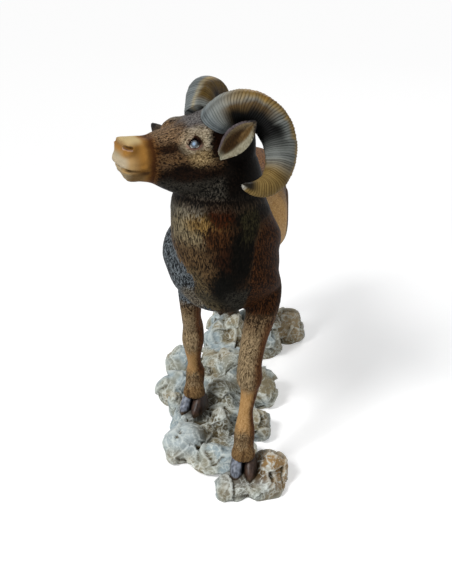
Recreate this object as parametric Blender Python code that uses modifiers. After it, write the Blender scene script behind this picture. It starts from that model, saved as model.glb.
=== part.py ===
# Cast and painted mouflon ram standing on a rock base, one solid piece.
# Metres, +Z up. The ram faces -Y, its left side is +X, the underside lies on z = 0.
import math
import random

import bmesh
import bpy
from mathutils import Matrix, Vector

for old in list(bpy.data.objects):
    bpy.data.objects.remove(old, do_unlink=True)

UP = Vector((0, 0, 1))

# Trunk
WITHERS_HEIGHT = 0.141
RUMP_HEIGHT = 0.143
TRUNK_FRONT = -0.064
TRUNK_LENGTH = 0.159
CHEST_WIDTH = 0.060
CHEST_DEPTH = 0.053
BELLY_WIDTH = 0.056
BELLY_DEPTH = 0.049
RUMP_WIDTH = 0.043
RUMP_DEPTH = 0.045
TAIL_LENGTH = 0.021
TAIL_RADIUS = 0.0042

# Neck and mane
NECK_WIDTH = 0.045
NECK_DEPTH = 0.046
MANE_WIDTH = 0.058
MANE_DEPTH = 0.051

# Head: the poll's place, then sizes along the nose, to the left and upwards
POLL_SIDE = 0.0035
POLL_FRONT = -0.0503
POLL_HEIGHT = 0.176
HEAD_TURN = math.radians(58)
NOSE_REACH = 0.0550
SKULL_BACK = 0.012
HEAD_WIDTH = 0.0285
MUZZLE_WIDTH = 0.0190
FOREHEAD_RISE = 0.0185
JAW_DROP = 0.0215
EYE_RADIUS = 0.0031
NOSTRIL_LENGTH = 0.0042
MOUTH_LENGTH = 0.0115
MOUTH_GAP = 0.0009

# Ears
EAR_LENGTH = 0.0250
EAR_WIDTH = 0.0120
EAR_WALL = 0.0020

# Horns
HORN_RADIUS = 0.0080
HORN_TIP_RADIUS = 0.0015
LEFT_COIL_LENGTH = 0.0123
LEFT_COIL_HEIGHT = 0.0150
LEFT_COIL_SPREAD = 0.0300
RIGHT_COIL_LENGTH = 0.0105
RIGHT_COIL_HEIGHT = 0.0142
RIGHT_COIL_SPREAD = 0.0350
HORN_COIL_LIFT = 0.0060
HORN_ROOT_AHEAD = 0.0125
HORN_ROOT_SIDE = 0.0080
HORN_TURN = math.radians(284)
HORN_RIDGES = 34
RIDGE_HEIGHT = 0.0006

# Legs
ELBOW_RADIUS = 0.0080
FOREARM_RADIUS = 0.0063
KNEE_RADIUS = 0.0062
CANNON_RADIUS = 0.0039
FETLOCK_RADIUS = 0.0052
PASTERN_RADIUS = 0.0046
THIGH_RADIUS = 0.0145
GASKIN_RADIUS = 0.0078
HOCK_RADIUS = 0.0057
HOOF_LENGTH = 0.0160
HOOF_WIDTH = 0.0136
HOOF_HEIGHT = 0.0095
HOOF_CLEFT = 0.0012
DEWCLAW_RADIUS = 0.0018

# Rock base
FRONT_ROCK_HEIGHT = 0.0095
MIDDLE_ROCK_HEIGHT = 0.0155
BACK_ROCK_HEIGHT = 0.0265

# Clay sampling
CLAY_VOXEL = 0.0012
CLAY_SHARE = 0.040


def ring_points(centre, side, up, half_side, top, bottom, count, squareness=1.0):
    """One closed section: half width to the side, reach above and below its centre."""
    points = []
    for k in range(count):
        angle = 2 * math.pi * k / count
        across = math.copysign(abs(math.cos(angle)) ** squareness, math.cos(angle))
        rise = math.copysign(abs(math.sin(angle)) ** squareness, math.sin(angle))
        reach = top if rise > 0 else bottom
        points.append(centre + side * (half_side * across) + up * (reach * rise))
    return points


def loft(mesh, rings):
    """Skin rings of equal count into one closed body."""
    rows = [[mesh.verts.new(point) for point in ring] for ring in rings]
    count = len(rows[0])
    made = []
    for near, far in zip(rows, rows[1:]):
        for k in range(count):
            j = (k + 1) % count
            made.append(mesh.faces.new((near[k], near[j], far[j], far[k])))
    made.append(mesh.faces.new(list(reversed(rows[0]))))
    made.append(mesh.faces.new(rows[-1]))
    bmesh.ops.recalc_face_normals(mesh, faces=made)


def ellipsoid(mesh, centre, radii, turn=None, segments=20):
    """A stretched ball at centre."""
    place = Matrix.Translation(centre)
    if turn is not None:
        place = place @ turn.to_4x4()
    place = place @ Matrix.Diagonal((*radii, 1.0))
    bmesh.ops.create_uvsphere(mesh, u_segments=segments, v_segments=segments // 2, radius=1.0, matrix=place)


def frame_along(direction, up=UP):
    """Rotation whose X runs along direction and whose Z leans towards up."""
    forward = direction.normalized()
    left = up.cross(forward).normalized()
    return Matrix((forward, left, forward.cross(left))).transposed()


def smooth_between(points, share):
    """Point on a smooth curve through points, share from 0 to 1."""
    spans = len(points) - 1
    place = min(share, 0.999999) * spans
    k = int(place)
    t = place - k
    before = points[max(k - 1, 0)]
    after = points[min(k + 2, spans)]
    start, end = points[k], points[k + 1]
    bend = 2 * before - 5 * start + 4 * end - after
    twist = 3 * start - before - 3 * end + after
    return 0.5 * (2 * start + (end - before) * t + bend * t ** 2 + twist * t ** 3)


def limb(mesh, joints, rings_per_span=4, count=16):
    """A tapering round body through (place, radius) joints."""
    places = [place for place, _ in joints]
    radii = [radius for _, radius in joints]
    steps = rings_per_span * (len(joints) - 1)
    rings = []
    for k in range(steps + 1):
        share = k / steps
        here = smooth_between(places, share)
        ahead = smooth_between(places, min(share + 0.02, 1.0))
        behind = smooth_between(places, max(share - 0.02, 0.0))
        turn = frame_along(ahead - behind, Vector((0, -1, 0.01)))
        radius = smooth_between(radii, share)
        rings.append(ring_points(here, turn.col[1], turn.col[2], radius, radius, radius, count))
    loft(mesh, rings)


# Trunk

def add_trunk(mesh):
    """Barrel from chest to rump: share of length, sizes, then width, back and belly shares."""
    chest = (CHEST_WIDTH, CHEST_DEPTH, WITHERS_HEIGHT)
    belly = (BELLY_WIDTH, BELLY_DEPTH, WITHERS_HEIGHT)
    rump = (RUMP_WIDTH, RUMP_DEPTH, RUMP_HEIGHT)
    stations = [
        (0.000, chest, 0.46, 0.25, 0.40),
        (0.040, chest, 0.80, 0.62, 0.72),
        (0.100, chest, 1.00, 0.92, 0.94),
        (0.190, chest, 1.00, 1.04, 1.00),
        (0.300, belly, 1.02, 1.00, 1.05),
        (0.450, belly, 1.02, 0.93, 1.07),
        (0.580, belly, 0.98, 0.94, 1.00),
        (0.680, belly, 0.92, 0.99, 0.88),
        (0.760, rump, 1.12, 0.99, 0.98),
        (0.850, rump, 1.06, 1.00, 1.00),
        (0.920, rump, 0.88, 0.84, 0.88),
        (0.970, rump, 0.60, 0.56, 0.62),
        (1.000, rump, 0.30, 0.30, 0.34),
    ]
    rings = []
    for share, (width, depth, height), width_share, back_share, belly_share in stations:
        middle = Vector((0, TRUNK_FRONT + TRUNK_LENGTH * share, height - depth / 2))
        half = depth / 2
        rings.append(ring_points(
            middle, Vector((1, 0, 0)), UP, width * width_share / 2, half * back_share, half * belly_share, 28, 0.9))
    loft(mesh, rings)


def add_muscles(mesh):
    """Shoulder and haunch masses on both sides, and the brisket."""
    for side in (-1, 1):
        shoulder = Vector((side * CHEST_WIDTH * 0.355, TRUNK_FRONT + 0.022, WITHERS_HEIGHT - 0.026))
        ellipsoid(mesh, shoulder, (0.0115, 0.0150, 0.0205))
        haunch_back = TRUNK_FRONT + TRUNK_LENGTH * 0.82
        haunch = Vector((side * RUMP_WIDTH * 0.36, haunch_back, RUMP_HEIGHT - 0.033))
        ellipsoid(mesh, haunch, (0.0090, 0.0200, 0.0250))
    brisket = Vector((-0.001, TRUNK_FRONT + 0.019, WITHERS_HEIGHT - CHEST_DEPTH + 0.0095))
    ellipsoid(mesh, brisket, (0.0190, 0.0160, 0.0095))


def add_tail(mesh):
    """Short tail hanging over the rump."""
    root = Vector((0, TRUNK_FRONT + TRUNK_LENGTH * 0.93, RUMP_HEIGHT - RUMP_DEPTH * 0.16))
    limb(mesh, [
        (root, TAIL_RADIUS * 1.1),
        (root + Vector((0, TAIL_LENGTH * 0.52, -TAIL_LENGTH * 0.24)), TAIL_RADIUS),
        (root + Vector((0, TAIL_LENGTH * 0.62, -TAIL_LENGTH)), TAIL_RADIUS * 0.45),
    ])


# Neck and mane

def add_neck(mesh):
    """Upright neck that widens into the chest mane."""
    foot = WITHERS_HEIGHT - CHEST_DEPTH + 0.006
    rise = POLL_HEIGHT - foot
    stations = [
        (0.00, 0.000, 0.0115, MANE_WIDTH, 0.74, MANE_DEPTH, 0.76),
        (0.12, 0.000, 0.0085, MANE_WIDTH, 0.93, MANE_DEPTH, 0.94),
        (0.27, 0.000, 0.0050, MANE_WIDTH, 1.00, MANE_DEPTH, 1.00),
        (0.43, -0.001, 0.0030, MANE_WIDTH, 0.95, MANE_DEPTH, 0.99),
        (0.57, -0.0035, 0.0020, NECK_WIDTH, 1.10, NECK_DEPTH, 1.07),
        (0.68, -0.0050, 0.0015, NECK_WIDTH, 1.00, NECK_DEPTH, 1.00),
        (0.80, -0.0035, 0.0010, NECK_WIDTH, 0.88, NECK_DEPTH, 0.90),
        (0.92, -0.0015, 0.0000, NECK_WIDTH, 0.68, NECK_DEPTH, 0.70),
        (1.01, 0.0000, 0.0000, NECK_WIDTH, 0.44, NECK_DEPTH, 0.44),
    ]
    rings = []
    for share, shift_side, shift_back, width, width_share, depth, depth_share in stations:
        middle = Vector((POLL_SIDE + shift_side, POLL_FRONT + shift_back, foot + rise * share))
        half_depth = depth * depth_share / 2
        rings.append(ring_points(
            middle, Vector((1, 0, 0)), Vector((0, 1, 0)), width * width_share / 2, half_depth, half_depth, 28))
    loft(mesh, rings)


def add_nape(mesh):
    """Slope from the back of the skull down to the withers."""
    poll = Vector((POLL_SIDE, POLL_FRONT + 0.006, POLL_HEIGHT + 0.002))
    withers = Vector((0, TRUNK_FRONT + 0.052, WITHERS_HEIGHT - 0.019))
    middle = (poll + withers) / 2 + Vector((0, -0.001, -0.002))
    limb(mesh, [(poll, HEAD_WIDTH * 0.36), (middle, NECK_WIDTH * 0.36), (withers, NECK_WIDTH * 0.46)])


# Head

POLL = Vector((POLL_SIDE, POLL_FRONT, POLL_HEIGHT))
NOSE = Vector((-math.sin(HEAD_TURN), -math.cos(HEAD_TURN), 0))
LEFT = Vector((math.cos(HEAD_TURN), -math.sin(HEAD_TURN), 0))
HEAD_TURN_MATRIX = Matrix((NOSE, LEFT, UP)).transposed()


def on_head(along, left, up):
    """World point from distances along the nose, to the left and up from the poll."""
    return POLL + NOSE * along + LEFT * left + UP * up


def add_head(mesh):
    """Skull and muzzle: share of nose reach, rise and drop shares, width and squareness."""
    stations = [
        (1.000, 0.02, 0.20, MUZZLE_WIDTH, 0.36),
        (0.968, 0.34, 0.40, MUZZLE_WIDTH, 0.74),
        (0.915, 0.45, 0.49, MUZZLE_WIDTH, 0.95),
        (0.820, 0.45, 0.54, MUZZLE_WIDTH, 1.01),
        (0.725, 0.43, 0.57, MUZZLE_WIDTH, 1.04),
        (0.620, 0.52, 0.70, MUZZLE_WIDTH, 1.12),
        (0.500, 0.62, 0.88, HEAD_WIDTH, 0.85),
        (0.410, 0.73, 0.98, HEAD_WIDTH, 0.93),
        (0.320, 0.84, 1.00, HEAD_WIDTH, 1.00),
        (0.190, 0.98, 0.98, HEAD_WIDTH, 1.03),
        (0.050, 1.00, 0.90, HEAD_WIDTH, 1.00),
    ]
    rings = []
    for share, rise, drop, width, width_share in stations:
        middle = on_head(NOSE_REACH * share, 0, 0)
        rings.append(ring_points(
            middle, LEFT, UP, width * width_share / 2, FOREHEAD_RISE * rise, JAW_DROP * drop, 24, 0.88))
    for share, fill in ((0.5, 0.86), (0.85, 0.60), (1.0, 0.30)):
        middle = on_head(-SKULL_BACK * share, 0, 0)
        rings.append(ring_points(
            middle, LEFT, UP, HEAD_WIDTH * fill / 2, FOREHEAD_RISE * fill, JAW_DROP * fill, 24, 0.9))
    loft(mesh, rings)
    for side in (-1, 1):
        orbit = on_head(0.0225, side * HEAD_WIDTH * 0.36, 0.0062)
        ellipsoid(mesh, orbit, (0.0078, 0.0046, 0.0066), HEAD_TURN_MATRIX)
        cheek = on_head(0.0160, side * HEAD_WIDTH * 0.30, -0.0100)
        ellipsoid(mesh, cheek, (0.0125, 0.0066, 0.0090), HEAD_TURN_MATRIX)
        nose_wing = on_head(NOSE_REACH * 0.905, side * MUZZLE_WIDTH * 0.30, 0.0042)
        ellipsoid(mesh, nose_wing, (0.0042, 0.0036, 0.0036), HEAD_TURN_MATRIX)


# Legs: joints from the body down to the hoof's crown

def fore_leg_joints(side_at_body, side_at_hoof, knee_front, knee_share, hoof_front, ground, slim):
    """Foreleg joints; fronts are y places, ground is the rock's height under the hoof."""
    elbow_height = WITHERS_HEIGHT - CHEST_DEPTH + 0.007
    crown = ground + HOOF_HEIGHT
    knee_height = crown + (elbow_height - crown) * knee_share
    body_front = TRUNK_FRONT + 0.022
    side_at_knee = side_at_hoof * 0.55 + side_at_body * 0.45
    sole_back = hoof_front + HOOF_LENGTH * 0.95
    return [
        (Vector((side_at_body, body_front + 0.002, elbow_height + 0.018)), ELBOW_RADIUS * 1.30),
        (Vector((side_at_body, body_front * 0.8 + knee_front * 0.2, elbow_height)), ELBOW_RADIUS * slim),
        (Vector((side_at_knee, body_front * 0.45 + knee_front * 0.55, (elbow_height + knee_height) / 2)),
         FOREARM_RADIUS * slim),
        (Vector((side_at_knee, knee_front + 0.001, knee_height + 0.008)), KNEE_RADIUS * 0.93),
        (Vector((side_at_knee, knee_front, knee_height)), KNEE_RADIUS),
        (Vector((side_at_knee, knee_front + 0.0005, knee_height - 0.0075)), CANNON_RADIUS * 1.20),
        (Vector((side_at_hoof, (knee_front + sole_back) / 2, (knee_height + crown) / 2 + 0.001)),
         CANNON_RADIUS),
        (Vector((side_at_hoof, sole_back - 0.0012, crown + 0.0110)), FETLOCK_RADIUS),
        (Vector((side_at_hoof, sole_back - 0.0045, crown + 0.0035)), PASTERN_RADIUS),
        (Vector((side_at_hoof, sole_back - 0.0075, crown - 0.0030)), HOOF_WIDTH * 0.40),
    ]


def hind_leg_joints(side, hoof_front, ground):
    """Hind leg joints from the hip down to the hoof's crown."""
    crown = ground + HOOF_HEIGHT
    hip = Vector((side * 0.9, TRUNK_FRONT + TRUNK_LENGTH * 0.80, RUMP_HEIGHT - RUMP_DEPTH * 0.6))
    belly_line = RUMP_HEIGHT - RUMP_DEPTH
    hock_height = crown + (belly_line - crown) * 0.50
    sole_back = hoof_front + HOOF_LENGTH * 0.95
    return [
        (hip, THIGH_RADIUS),
        (Vector((side * 1.15, hip.y - 0.013, belly_line + 0.001)), THIGH_RADIUS * 0.86),
        (Vector((side, hip.y + 0.001, belly_line - 0.010)), GASKIN_RADIUS * 1.35),
        (Vector((side, hip.y + 0.012, hock_height + 0.010)), GASKIN_RADIUS * 0.86),
        (Vector((side, hip.y + 0.020, hock_height)), HOCK_RADIUS),
        (Vector((side, (hip.y + 0.020 + sole_back) / 2, (hock_height + crown) / 2 + 0.002)), CANNON_RADIUS * 1.1),
        (Vector((side, sole_back - 0.0025, crown + 0.0105)), FETLOCK_RADIUS),
        (Vector((side, sole_back - 0.0060, crown + 0.0035)), PASTERN_RADIUS),
        (Vector((side, sole_back - 0.0085, crown - 0.0030)), HOOF_WIDTH * 0.40),
    ]


def add_hoof(mesh, cuts, tip, heading, ground):
    """Two-toed hoof with its sole on the rock; tip is the toe's place, heading its direction."""
    turn = frame_along(heading)
    base = Vector((tip.x, tip.y, ground)) - turn.col[0] * HOOF_LENGTH
    sections = ((0.05, 0.42, 0.92), (0.30, 0.50, 1.12), (0.55, 0.50, 0.98), (0.80, 0.42, 0.62), (0.98, 0.22, 0.30))
    rings = []
    for along, half_width, height in sections:
        middle = base + turn.col[0] * (HOOF_LENGTH * along)
        rings.append(ring_points(
            middle, turn.col[1], UP, HOOF_WIDTH * half_width, HOOF_HEIGHT * height, 0.002, 16, 0.8))
    loft(mesh, rings)
    groove = base + turn.col[0] * (HOOF_LENGTH * 0.80) + UP * (HOOF_HEIGHT * 0.75)
    ellipsoid(cuts, groove, (HOOF_LENGTH * 0.42, HOOF_CLEFT / 2, HOOF_HEIGHT * 0.72), turn, 10)
    for side in (-1, 1):
        claw = base + turn.col[0] * (HOOF_LENGTH * 0.04) + turn.col[1] * (side * HOOF_WIDTH * 0.27)
        ellipsoid(mesh, claw + UP * (HOOF_HEIGHT + 0.0065), (DEWCLAW_RADIUS,) * 3)


LEGS = [
    (fore_leg_joints(0.0205, 0.0150, -0.0625, 0.46, -0.0850, FRONT_ROCK_HEIGHT, 1.0),
     Vector((0.0158, -0.0850, 0)), Vector((0.05, -1, 0)), FRONT_ROCK_HEIGHT),
    (fore_leg_joints(-0.0180, -0.0190, -0.0310, 0.50, -0.0385, MIDDLE_ROCK_HEIGHT, 0.86),
     Vector((-0.0215, -0.0385, 0)), Vector((-0.28, -1, 0)), MIDDLE_ROCK_HEIGHT),
    (hind_leg_joints(0.0125, 0.0620, BACK_ROCK_HEIGHT),
     Vector((0.0125, 0.0620, 0)), Vector((0.08, -1, 0)), BACK_ROCK_HEIGHT),
    (hind_leg_joints(-0.0150, 0.0700, BACK_ROCK_HEIGHT),
     Vector((-0.0150, 0.0700, 0)), Vector((-0.08, -1, 0)), BACK_ROCK_HEIGHT),
]


# Rock base

def add_boulder(mesh, centre, radii, facets, seed):
    """A rounded boulder with flattened faces."""
    dice = random.Random(seed)
    place = Matrix.Translation(centre) @ Matrix.Diagonal((*radii, 1.0))
    made = bmesh.ops.create_icosphere(mesh, subdivisions=3, radius=1.0)["verts"]
    for _ in range(facets):
        outward = Vector((dice.gauss(0, 1), dice.gauss(0, 1), dice.gauss(0, 0.7))).normalized()
        reach = dice.uniform(0.70, 0.90)
        for vert in made:
            over = vert.co.dot(outward) - reach
            if over > 0:
                vert.co -= outward * over
    for vert in made:
        vert.co = place @ vert.co


FRONT, MIDDLE, BACK = FRONT_ROCK_HEIGHT, MIDDLE_ROCK_HEIGHT, BACK_ROCK_HEIGHT

# Boulders as x, y, half length in x and in y, and the height of the top
BOULDERS = [
    (0.0000, -0.0560, 0.0220, 0.0180, FRONT * 0.95),
    (-0.0080, -0.0220, 0.0270, 0.0240, MIDDLE * 0.72),
    (-0.0090, 0.0120, 0.0260, 0.0250, MIDDLE * 0.78),
    (-0.0100, 0.0450, 0.0220, 0.0260, MIDDLE * 0.85),
    (0.0000, 0.0780, 0.0260, 0.0220, BACK * 0.55),
    (0.0130, -0.0810, 0.0130, 0.0120, FRONT),
    (0.0080, -0.0865, 0.0075, 0.0070, FRONT * 0.86),
    (0.0280, -0.0700, 0.0110, 0.0120, FRONT * 1.70),
    (0.0270, -0.0790, 0.0130, 0.0120, FRONT * 1.05),
    (0.0060, -0.0640, 0.0100, 0.0110, FRONT * 1.10),
    (-0.0200, -0.0540, 0.0135, 0.0145, MIDDLE * 1.16),
    (-0.0020, -0.0610, 0.0090, 0.0085, MIDDLE * 0.96),
    (-0.0030, -0.0360, 0.0072, 0.0072, MIDDLE * 1.20),
    (0.0172, -0.0310, 0.0108, 0.0120, MIDDLE * 1.12),
    (-0.0200, -0.0300, 0.0150, 0.0140, MIDDLE * 0.98),
    (0.0160, 0.0070, 0.0115, 0.0150, MIDDLE * 1.32),
    (-0.0065, -0.0090, 0.0130, 0.0160, MIDDLE * 1.42),
    (-0.0355, 0.0000, 0.0125, 0.0135, MIDDLE * 1.12),
    (-0.0310, -0.0200, 0.0060, 0.0055, MIDDLE * 1.18),
    (-0.0370, 0.0310, 0.0120, 0.0140, MIDDLE * 1.18),
    (-0.0080, 0.0330, 0.0170, 0.0200, MIDDLE * 1.35),
    (-0.0210, 0.0630, 0.0105, 0.0120, BACK * 0.90),
    (-0.0065, 0.0660, 0.0105, 0.0110, BACK * 1.02),
    (0.0120, 0.0700, 0.0120, 0.0150, BACK * 0.98),
    (-0.0150, 0.0790, 0.0140, 0.0150, BACK * 0.98),
    (0.0255, 0.0910, 0.0165, 0.0125, BACK * 0.84),
    (0.0020, 0.0900, 0.0150, 0.0120, BACK * 0.80),
]


def add_rocks(mesh):
    """Boulders fused on a low bed, with level pads under the hooves."""
    for index, (x, y, half_x, half_y, top) in enumerate(BOULDERS):
        centre = Vector((x, y, top * 0.35))
        add_boulder(mesh, centre, (half_x, half_y, top * 0.65 + 0.0005), 9, 40 + index)
    for (_, tip, _, ground) in LEGS:
        pad = Vector((tip.x, tip.y + HOOF_LENGTH * 0.55, ground - 0.0050))
        ellipsoid(mesh, pad, (HOOF_WIDTH * 0.72, HOOF_LENGTH * 0.72, 0.0054))


# Horns and ears

def add_horn(mesh, side, coil_length, coil_height, coil_spread):
    """Ridged horn that rises from the forehead and coils round to a free tip beside the jaw."""
    start = math.radians(34)
    coil_ahead = HORN_ROOT_AHEAD - coil_length * math.cos(start)
    rings = []
    steps = HORN_RIDGES * 2
    for k in range(steps + 1):
        share = k / steps
        angle = start + HORN_TURN * share
        radial = NOSE * (coil_length * math.cos(angle)) + UP * (coil_height * math.sin(angle))
        travel = NOSE * (-coil_length * math.sin(angle)) + UP * (coil_height * math.cos(angle))
        spread = HORN_ROOT_SIDE + coil_spread * math.sin(share * math.pi / 2)
        spread_rate = coil_spread * math.cos(share * math.pi / 2) * math.pi / 2 / HORN_TURN
        travel = travel + LEFT * (side * spread_rate)
        centre = on_head(coil_ahead, side * spread, HORN_COIL_LIFT) + radial
        outward = (radial - travel * (radial.dot(travel) / travel.length_squared)).normalized()
        across = travel.cross(outward).normalized()
        swell = math.sin(min(share / 0.42, 1.0) * math.pi / 2) * 0.12 + 0.88
        taper = math.sqrt(max(1 - max(share - 0.42, 0) / 0.60, 0.0))
        ridge = RIDGE_HEIGHT * (1 if k % 2 else -1) * min(taper * 1.5, 1.0)
        radius = max(HORN_RADIUS * swell * taper, HORN_TIP_RADIUS) + (ridge if 0 < k < steps - 2 else 0)
        rings.append(ring_points(centre, across, outward, radius * 0.94, radius, radius, 12, 0.86))
    loft(mesh, rings)


def add_ear(mesh, root, direction, opening):
    """Leaf-shaped ear, hollow on the side of its opening."""
    along = direction.normalized()
    facing = (opening - along * opening.dot(along)).normalized()
    side = along.cross(facing)
    stations = [
        (0.00, 0.50, 78), (0.14, 0.72, 74), (0.32, 0.93, 62), (0.50, 1.00, 52),
        (0.68, 0.86, 44), (0.84, 0.58, 38), (0.95, 0.30, 32), (1.00, 0.14, 28),
    ]
    rings = []
    for share, width_share, curl_degrees in stations:
        curl = math.radians(curl_degrees)
        half_width = EAR_WIDTH * width_share / 2
        bow = half_width / math.sin(curl)
        spine = root + along * (EAR_LENGTH * share)
        wall = min(EAR_WALL, half_width * 0.9)
        ring = []
        for radius, order in ((bow, range(7)), (bow - wall, range(6, -1, -1))):
            for k in order:
                swing = curl * (k / 3 - 1)
                drop = side * (radius * math.sin(swing)) - facing * (radius * math.cos(swing))
                ring.append(spine + facing * bow + drop)
        rings.append(ring)
    loft(mesh, rings)


def add_face_cuts(mesh):
    """Nostrils and the line of the mouth."""
    for side in (-1, 1):
        nostril = on_head(NOSE_REACH * 0.945, side * MUZZLE_WIDTH * 0.40, 0.0052)
        slant = frame_along(NOSE + UP * 0.35 - LEFT * (side * 0.55))
        ellipsoid(mesh, nostril, (NOSTRIL_LENGTH / 2, 0.0016, 0.0009), slant, 8)
        corner = on_head(NOSE_REACH - MOUTH_LENGTH / 2, side * MUZZLE_WIDTH * 0.46, -0.0046)
        ellipsoid(mesh, corner, (MOUTH_LENGTH * 0.56, MUZZLE_WIDTH * 0.10, MOUTH_GAP / 2), HEAD_TURN_MATRIX, 10)
    lips = on_head(NOSE_REACH - 0.0012, 0, -0.0042)
    ellipsoid(mesh, lips, (0.0024, MUZZLE_WIDTH * 0.30, MOUTH_GAP / 2), HEAD_TURN_MATRIX, 10)


# Clay body: all soft masses sampled into one skin

clay = bmesh.new()
grooves = bmesh.new()
add_trunk(clay)
add_muscles(clay)
add_tail(clay)
add_neck(clay)
add_nape(clay)
add_head(clay)
add_face_cuts(grooves)
for joints, tip, heading, ground in LEGS:
    limb(clay, joints)
    add_hoof(clay, grooves, tip, heading, ground)
add_rocks(clay)

parts = bpy.data.collections.new("mouflon_figure")
cutters = bpy.data.collections.new("cutters")
bpy.context.scene.collection.children.link(parts)
bpy.context.scene.collection.children.link(cutters)


def object_from(mesh, name, collection):
    """Turn a bmesh into an object of a collection; those of the cutters are hidden in renders."""
    data = bpy.data.meshes.new(name)
    mesh.to_mesh(data)
    mesh.free()
    made = bpy.data.objects.new(name, data)
    collection.objects.link(made)
    if collection is cutters:
        made.hide_render = True
        made.display_type = "WIRE"
    return made


def combine(target, tool, operation):
    """Exact Boolean of target with tool."""
    step = target.modifiers.new(tool.name, "BOOLEAN")
    step.operation = operation
    step.solver = "EXACT"
    step.use_self = True
    step.object = tool


figure = object_from(clay, "mouflon_figure", parts)
remesh = figure.modifiers.new("clay", "REMESH")
remesh.mode = "VOXEL"
remesh.voxel_size = CLAY_VOXEL
rub = figure.modifiers.new("rub", "SMOOTH")
rub.factor = 0.5
rub.iterations = 3
thin = figure.modifiers.new("thin", "DECIMATE")
thin.ratio = CLAY_SHARE
thin.use_collapse_triangulate = True

for name, side, coil in (
        ("horn_left", 1, (LEFT_COIL_LENGTH, LEFT_COIL_HEIGHT, LEFT_COIL_SPREAD)),
        ("horn_right", -1, (RIGHT_COIL_LENGTH, RIGHT_COIL_HEIGHT, RIGHT_COIL_SPREAD))):
    horn = bmesh.new()
    add_horn(horn, side, *coil)
    combine(figure, object_from(horn, name, cutters), "UNION")

for name, side, direction in (("ear_left", 1, (-0.47, 0.54, 0.64)), ("ear_right", -1, (0.66, -0.72, 0.16))):
    ear = bmesh.new()
    reach, outward, lift = direction
    add_ear(
        ear, on_head(0.0105, side * HEAD_WIDTH * 0.41, 0.0012),
        NOSE * reach + LEFT * outward + UP * lift, NOSE * 0.55 + LEFT * (side * 0.75) + UP * 0.15)
    combine(figure, object_from(ear, name, cutters), "UNION")

eyes = bmesh.new()
for side in (-1, 1):
    eyeball = on_head(0.0221, side * HEAD_WIDTH * 0.43, 0.0054)
    ellipsoid(eyes, eyeball, (EYE_RADIUS, EYE_RADIUS * 0.9, EYE_RADIUS), HEAD_TURN_MATRIX, 10)
combine(figure, object_from(eyes, "eyeballs", cutters), "UNION")
combine(figure, object_from(grooves, "grooves", cutters), "DIFFERENCE")

keep = bmesh.new()
bmesh.ops.create_cube(keep, size=1.0, matrix=Matrix.Translation((0, 0, 0.5)))
combine(figure, object_from(keep, "above_table", cutters), "INTERSECT")

paint = bpy.data.materials.new("painted_resin")
paint.use_nodes = True
shader = paint.node_tree.nodes["Principled BSDF"]
shader.inputs["Base Color"].default_value = (0.13, 0.075, 0.04, 1)
shader.inputs["Roughness"].default_value = 0.5
shader.inputs["Metallic"].default_value = 0.0
figure.data.materials.append(paint)
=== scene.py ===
# Painted resin mouflon ram on its rock base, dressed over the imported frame.
# Metres, +Z up. The ram faces -Y and its left side is +X.
import math
import random

import bmesh
import bpy
import numpy as np
from mathutils import Matrix, Vector, kdtree, noise


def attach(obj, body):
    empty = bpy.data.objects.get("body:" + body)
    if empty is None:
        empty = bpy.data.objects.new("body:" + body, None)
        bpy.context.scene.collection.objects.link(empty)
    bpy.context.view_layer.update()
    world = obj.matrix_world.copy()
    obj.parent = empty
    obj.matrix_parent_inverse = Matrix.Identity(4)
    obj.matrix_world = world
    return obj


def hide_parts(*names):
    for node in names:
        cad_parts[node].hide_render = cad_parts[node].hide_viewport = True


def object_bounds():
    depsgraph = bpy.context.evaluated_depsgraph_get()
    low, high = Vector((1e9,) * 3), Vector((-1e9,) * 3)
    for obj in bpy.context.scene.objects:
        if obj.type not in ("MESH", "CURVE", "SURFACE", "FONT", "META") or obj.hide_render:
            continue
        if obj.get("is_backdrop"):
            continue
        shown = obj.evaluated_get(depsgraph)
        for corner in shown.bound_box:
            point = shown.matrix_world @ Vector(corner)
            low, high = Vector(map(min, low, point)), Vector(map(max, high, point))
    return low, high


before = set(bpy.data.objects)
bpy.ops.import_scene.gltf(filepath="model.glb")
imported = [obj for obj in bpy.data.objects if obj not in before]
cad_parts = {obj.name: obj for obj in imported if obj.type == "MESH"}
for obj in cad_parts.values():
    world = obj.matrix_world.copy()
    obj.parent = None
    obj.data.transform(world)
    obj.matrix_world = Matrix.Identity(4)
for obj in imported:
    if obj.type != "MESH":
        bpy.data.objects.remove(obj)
cadLow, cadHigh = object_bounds()
mm = 0.001
upward = Vector((0, 0, 1))
noise.seed_set(7)   # so that the noise is the same each run


# Small helpers

def smoothStep(low, high, value):
    share = np.clip((np.asarray(value, float) - low) / (high - low), 0.0, 1.0)
    return share * share * (3 - 2 * share)


def tint(red, green, blue):
    # colour as mixed on the palette, 0 to 255, turned into Blender's linear values
    mixed = np.array((red, green, blue), float) / 255
    return np.where(mixed <= 0.04045, mixed / 12.92, ((mixed + 0.055) / 1.055) ** 2.4)


def smoothBetween(rows, share):
    # a place on the smooth curve through rows, share from 0 to 1
    spans = len(rows) - 1
    place = min(share, 0.999999) * spans
    k = int(place)
    t = place - k
    before = rows[max(k - 1, 0)]
    after = rows[min(k + 2, spans)]
    start, end = rows[k], rows[k + 1]
    bend = 2 * before - 5 * start + 4 * end - after
    twist = 3 * start - before - 3 * end + after
    return 0.5 * (2 * start + (end - before) * t + bend * t ** 2 + twist * t ** 3)


def finerRows(rows, perSpan):
    table = [np.array(row, float) for row in rows]
    steps = perSpan * (len(table) - 1)
    return [smoothBetween(table, k / steps) for k in range(steps + 1)]


def ringPoints(centre, side, up, halfSide, top, bottom, count, squareness=1.0):
    points = []
    for k in range(count):
        angle = 2 * math.pi * k / count
        across = math.copysign(abs(math.cos(angle)) ** squareness, math.cos(angle))
        rise = math.copysign(abs(math.sin(angle)) ** squareness, math.sin(angle))
        reach = top if rise > 0 else bottom
        points.append(centre + side * (halfSide * across) + up * (reach * rise))
    return points


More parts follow.
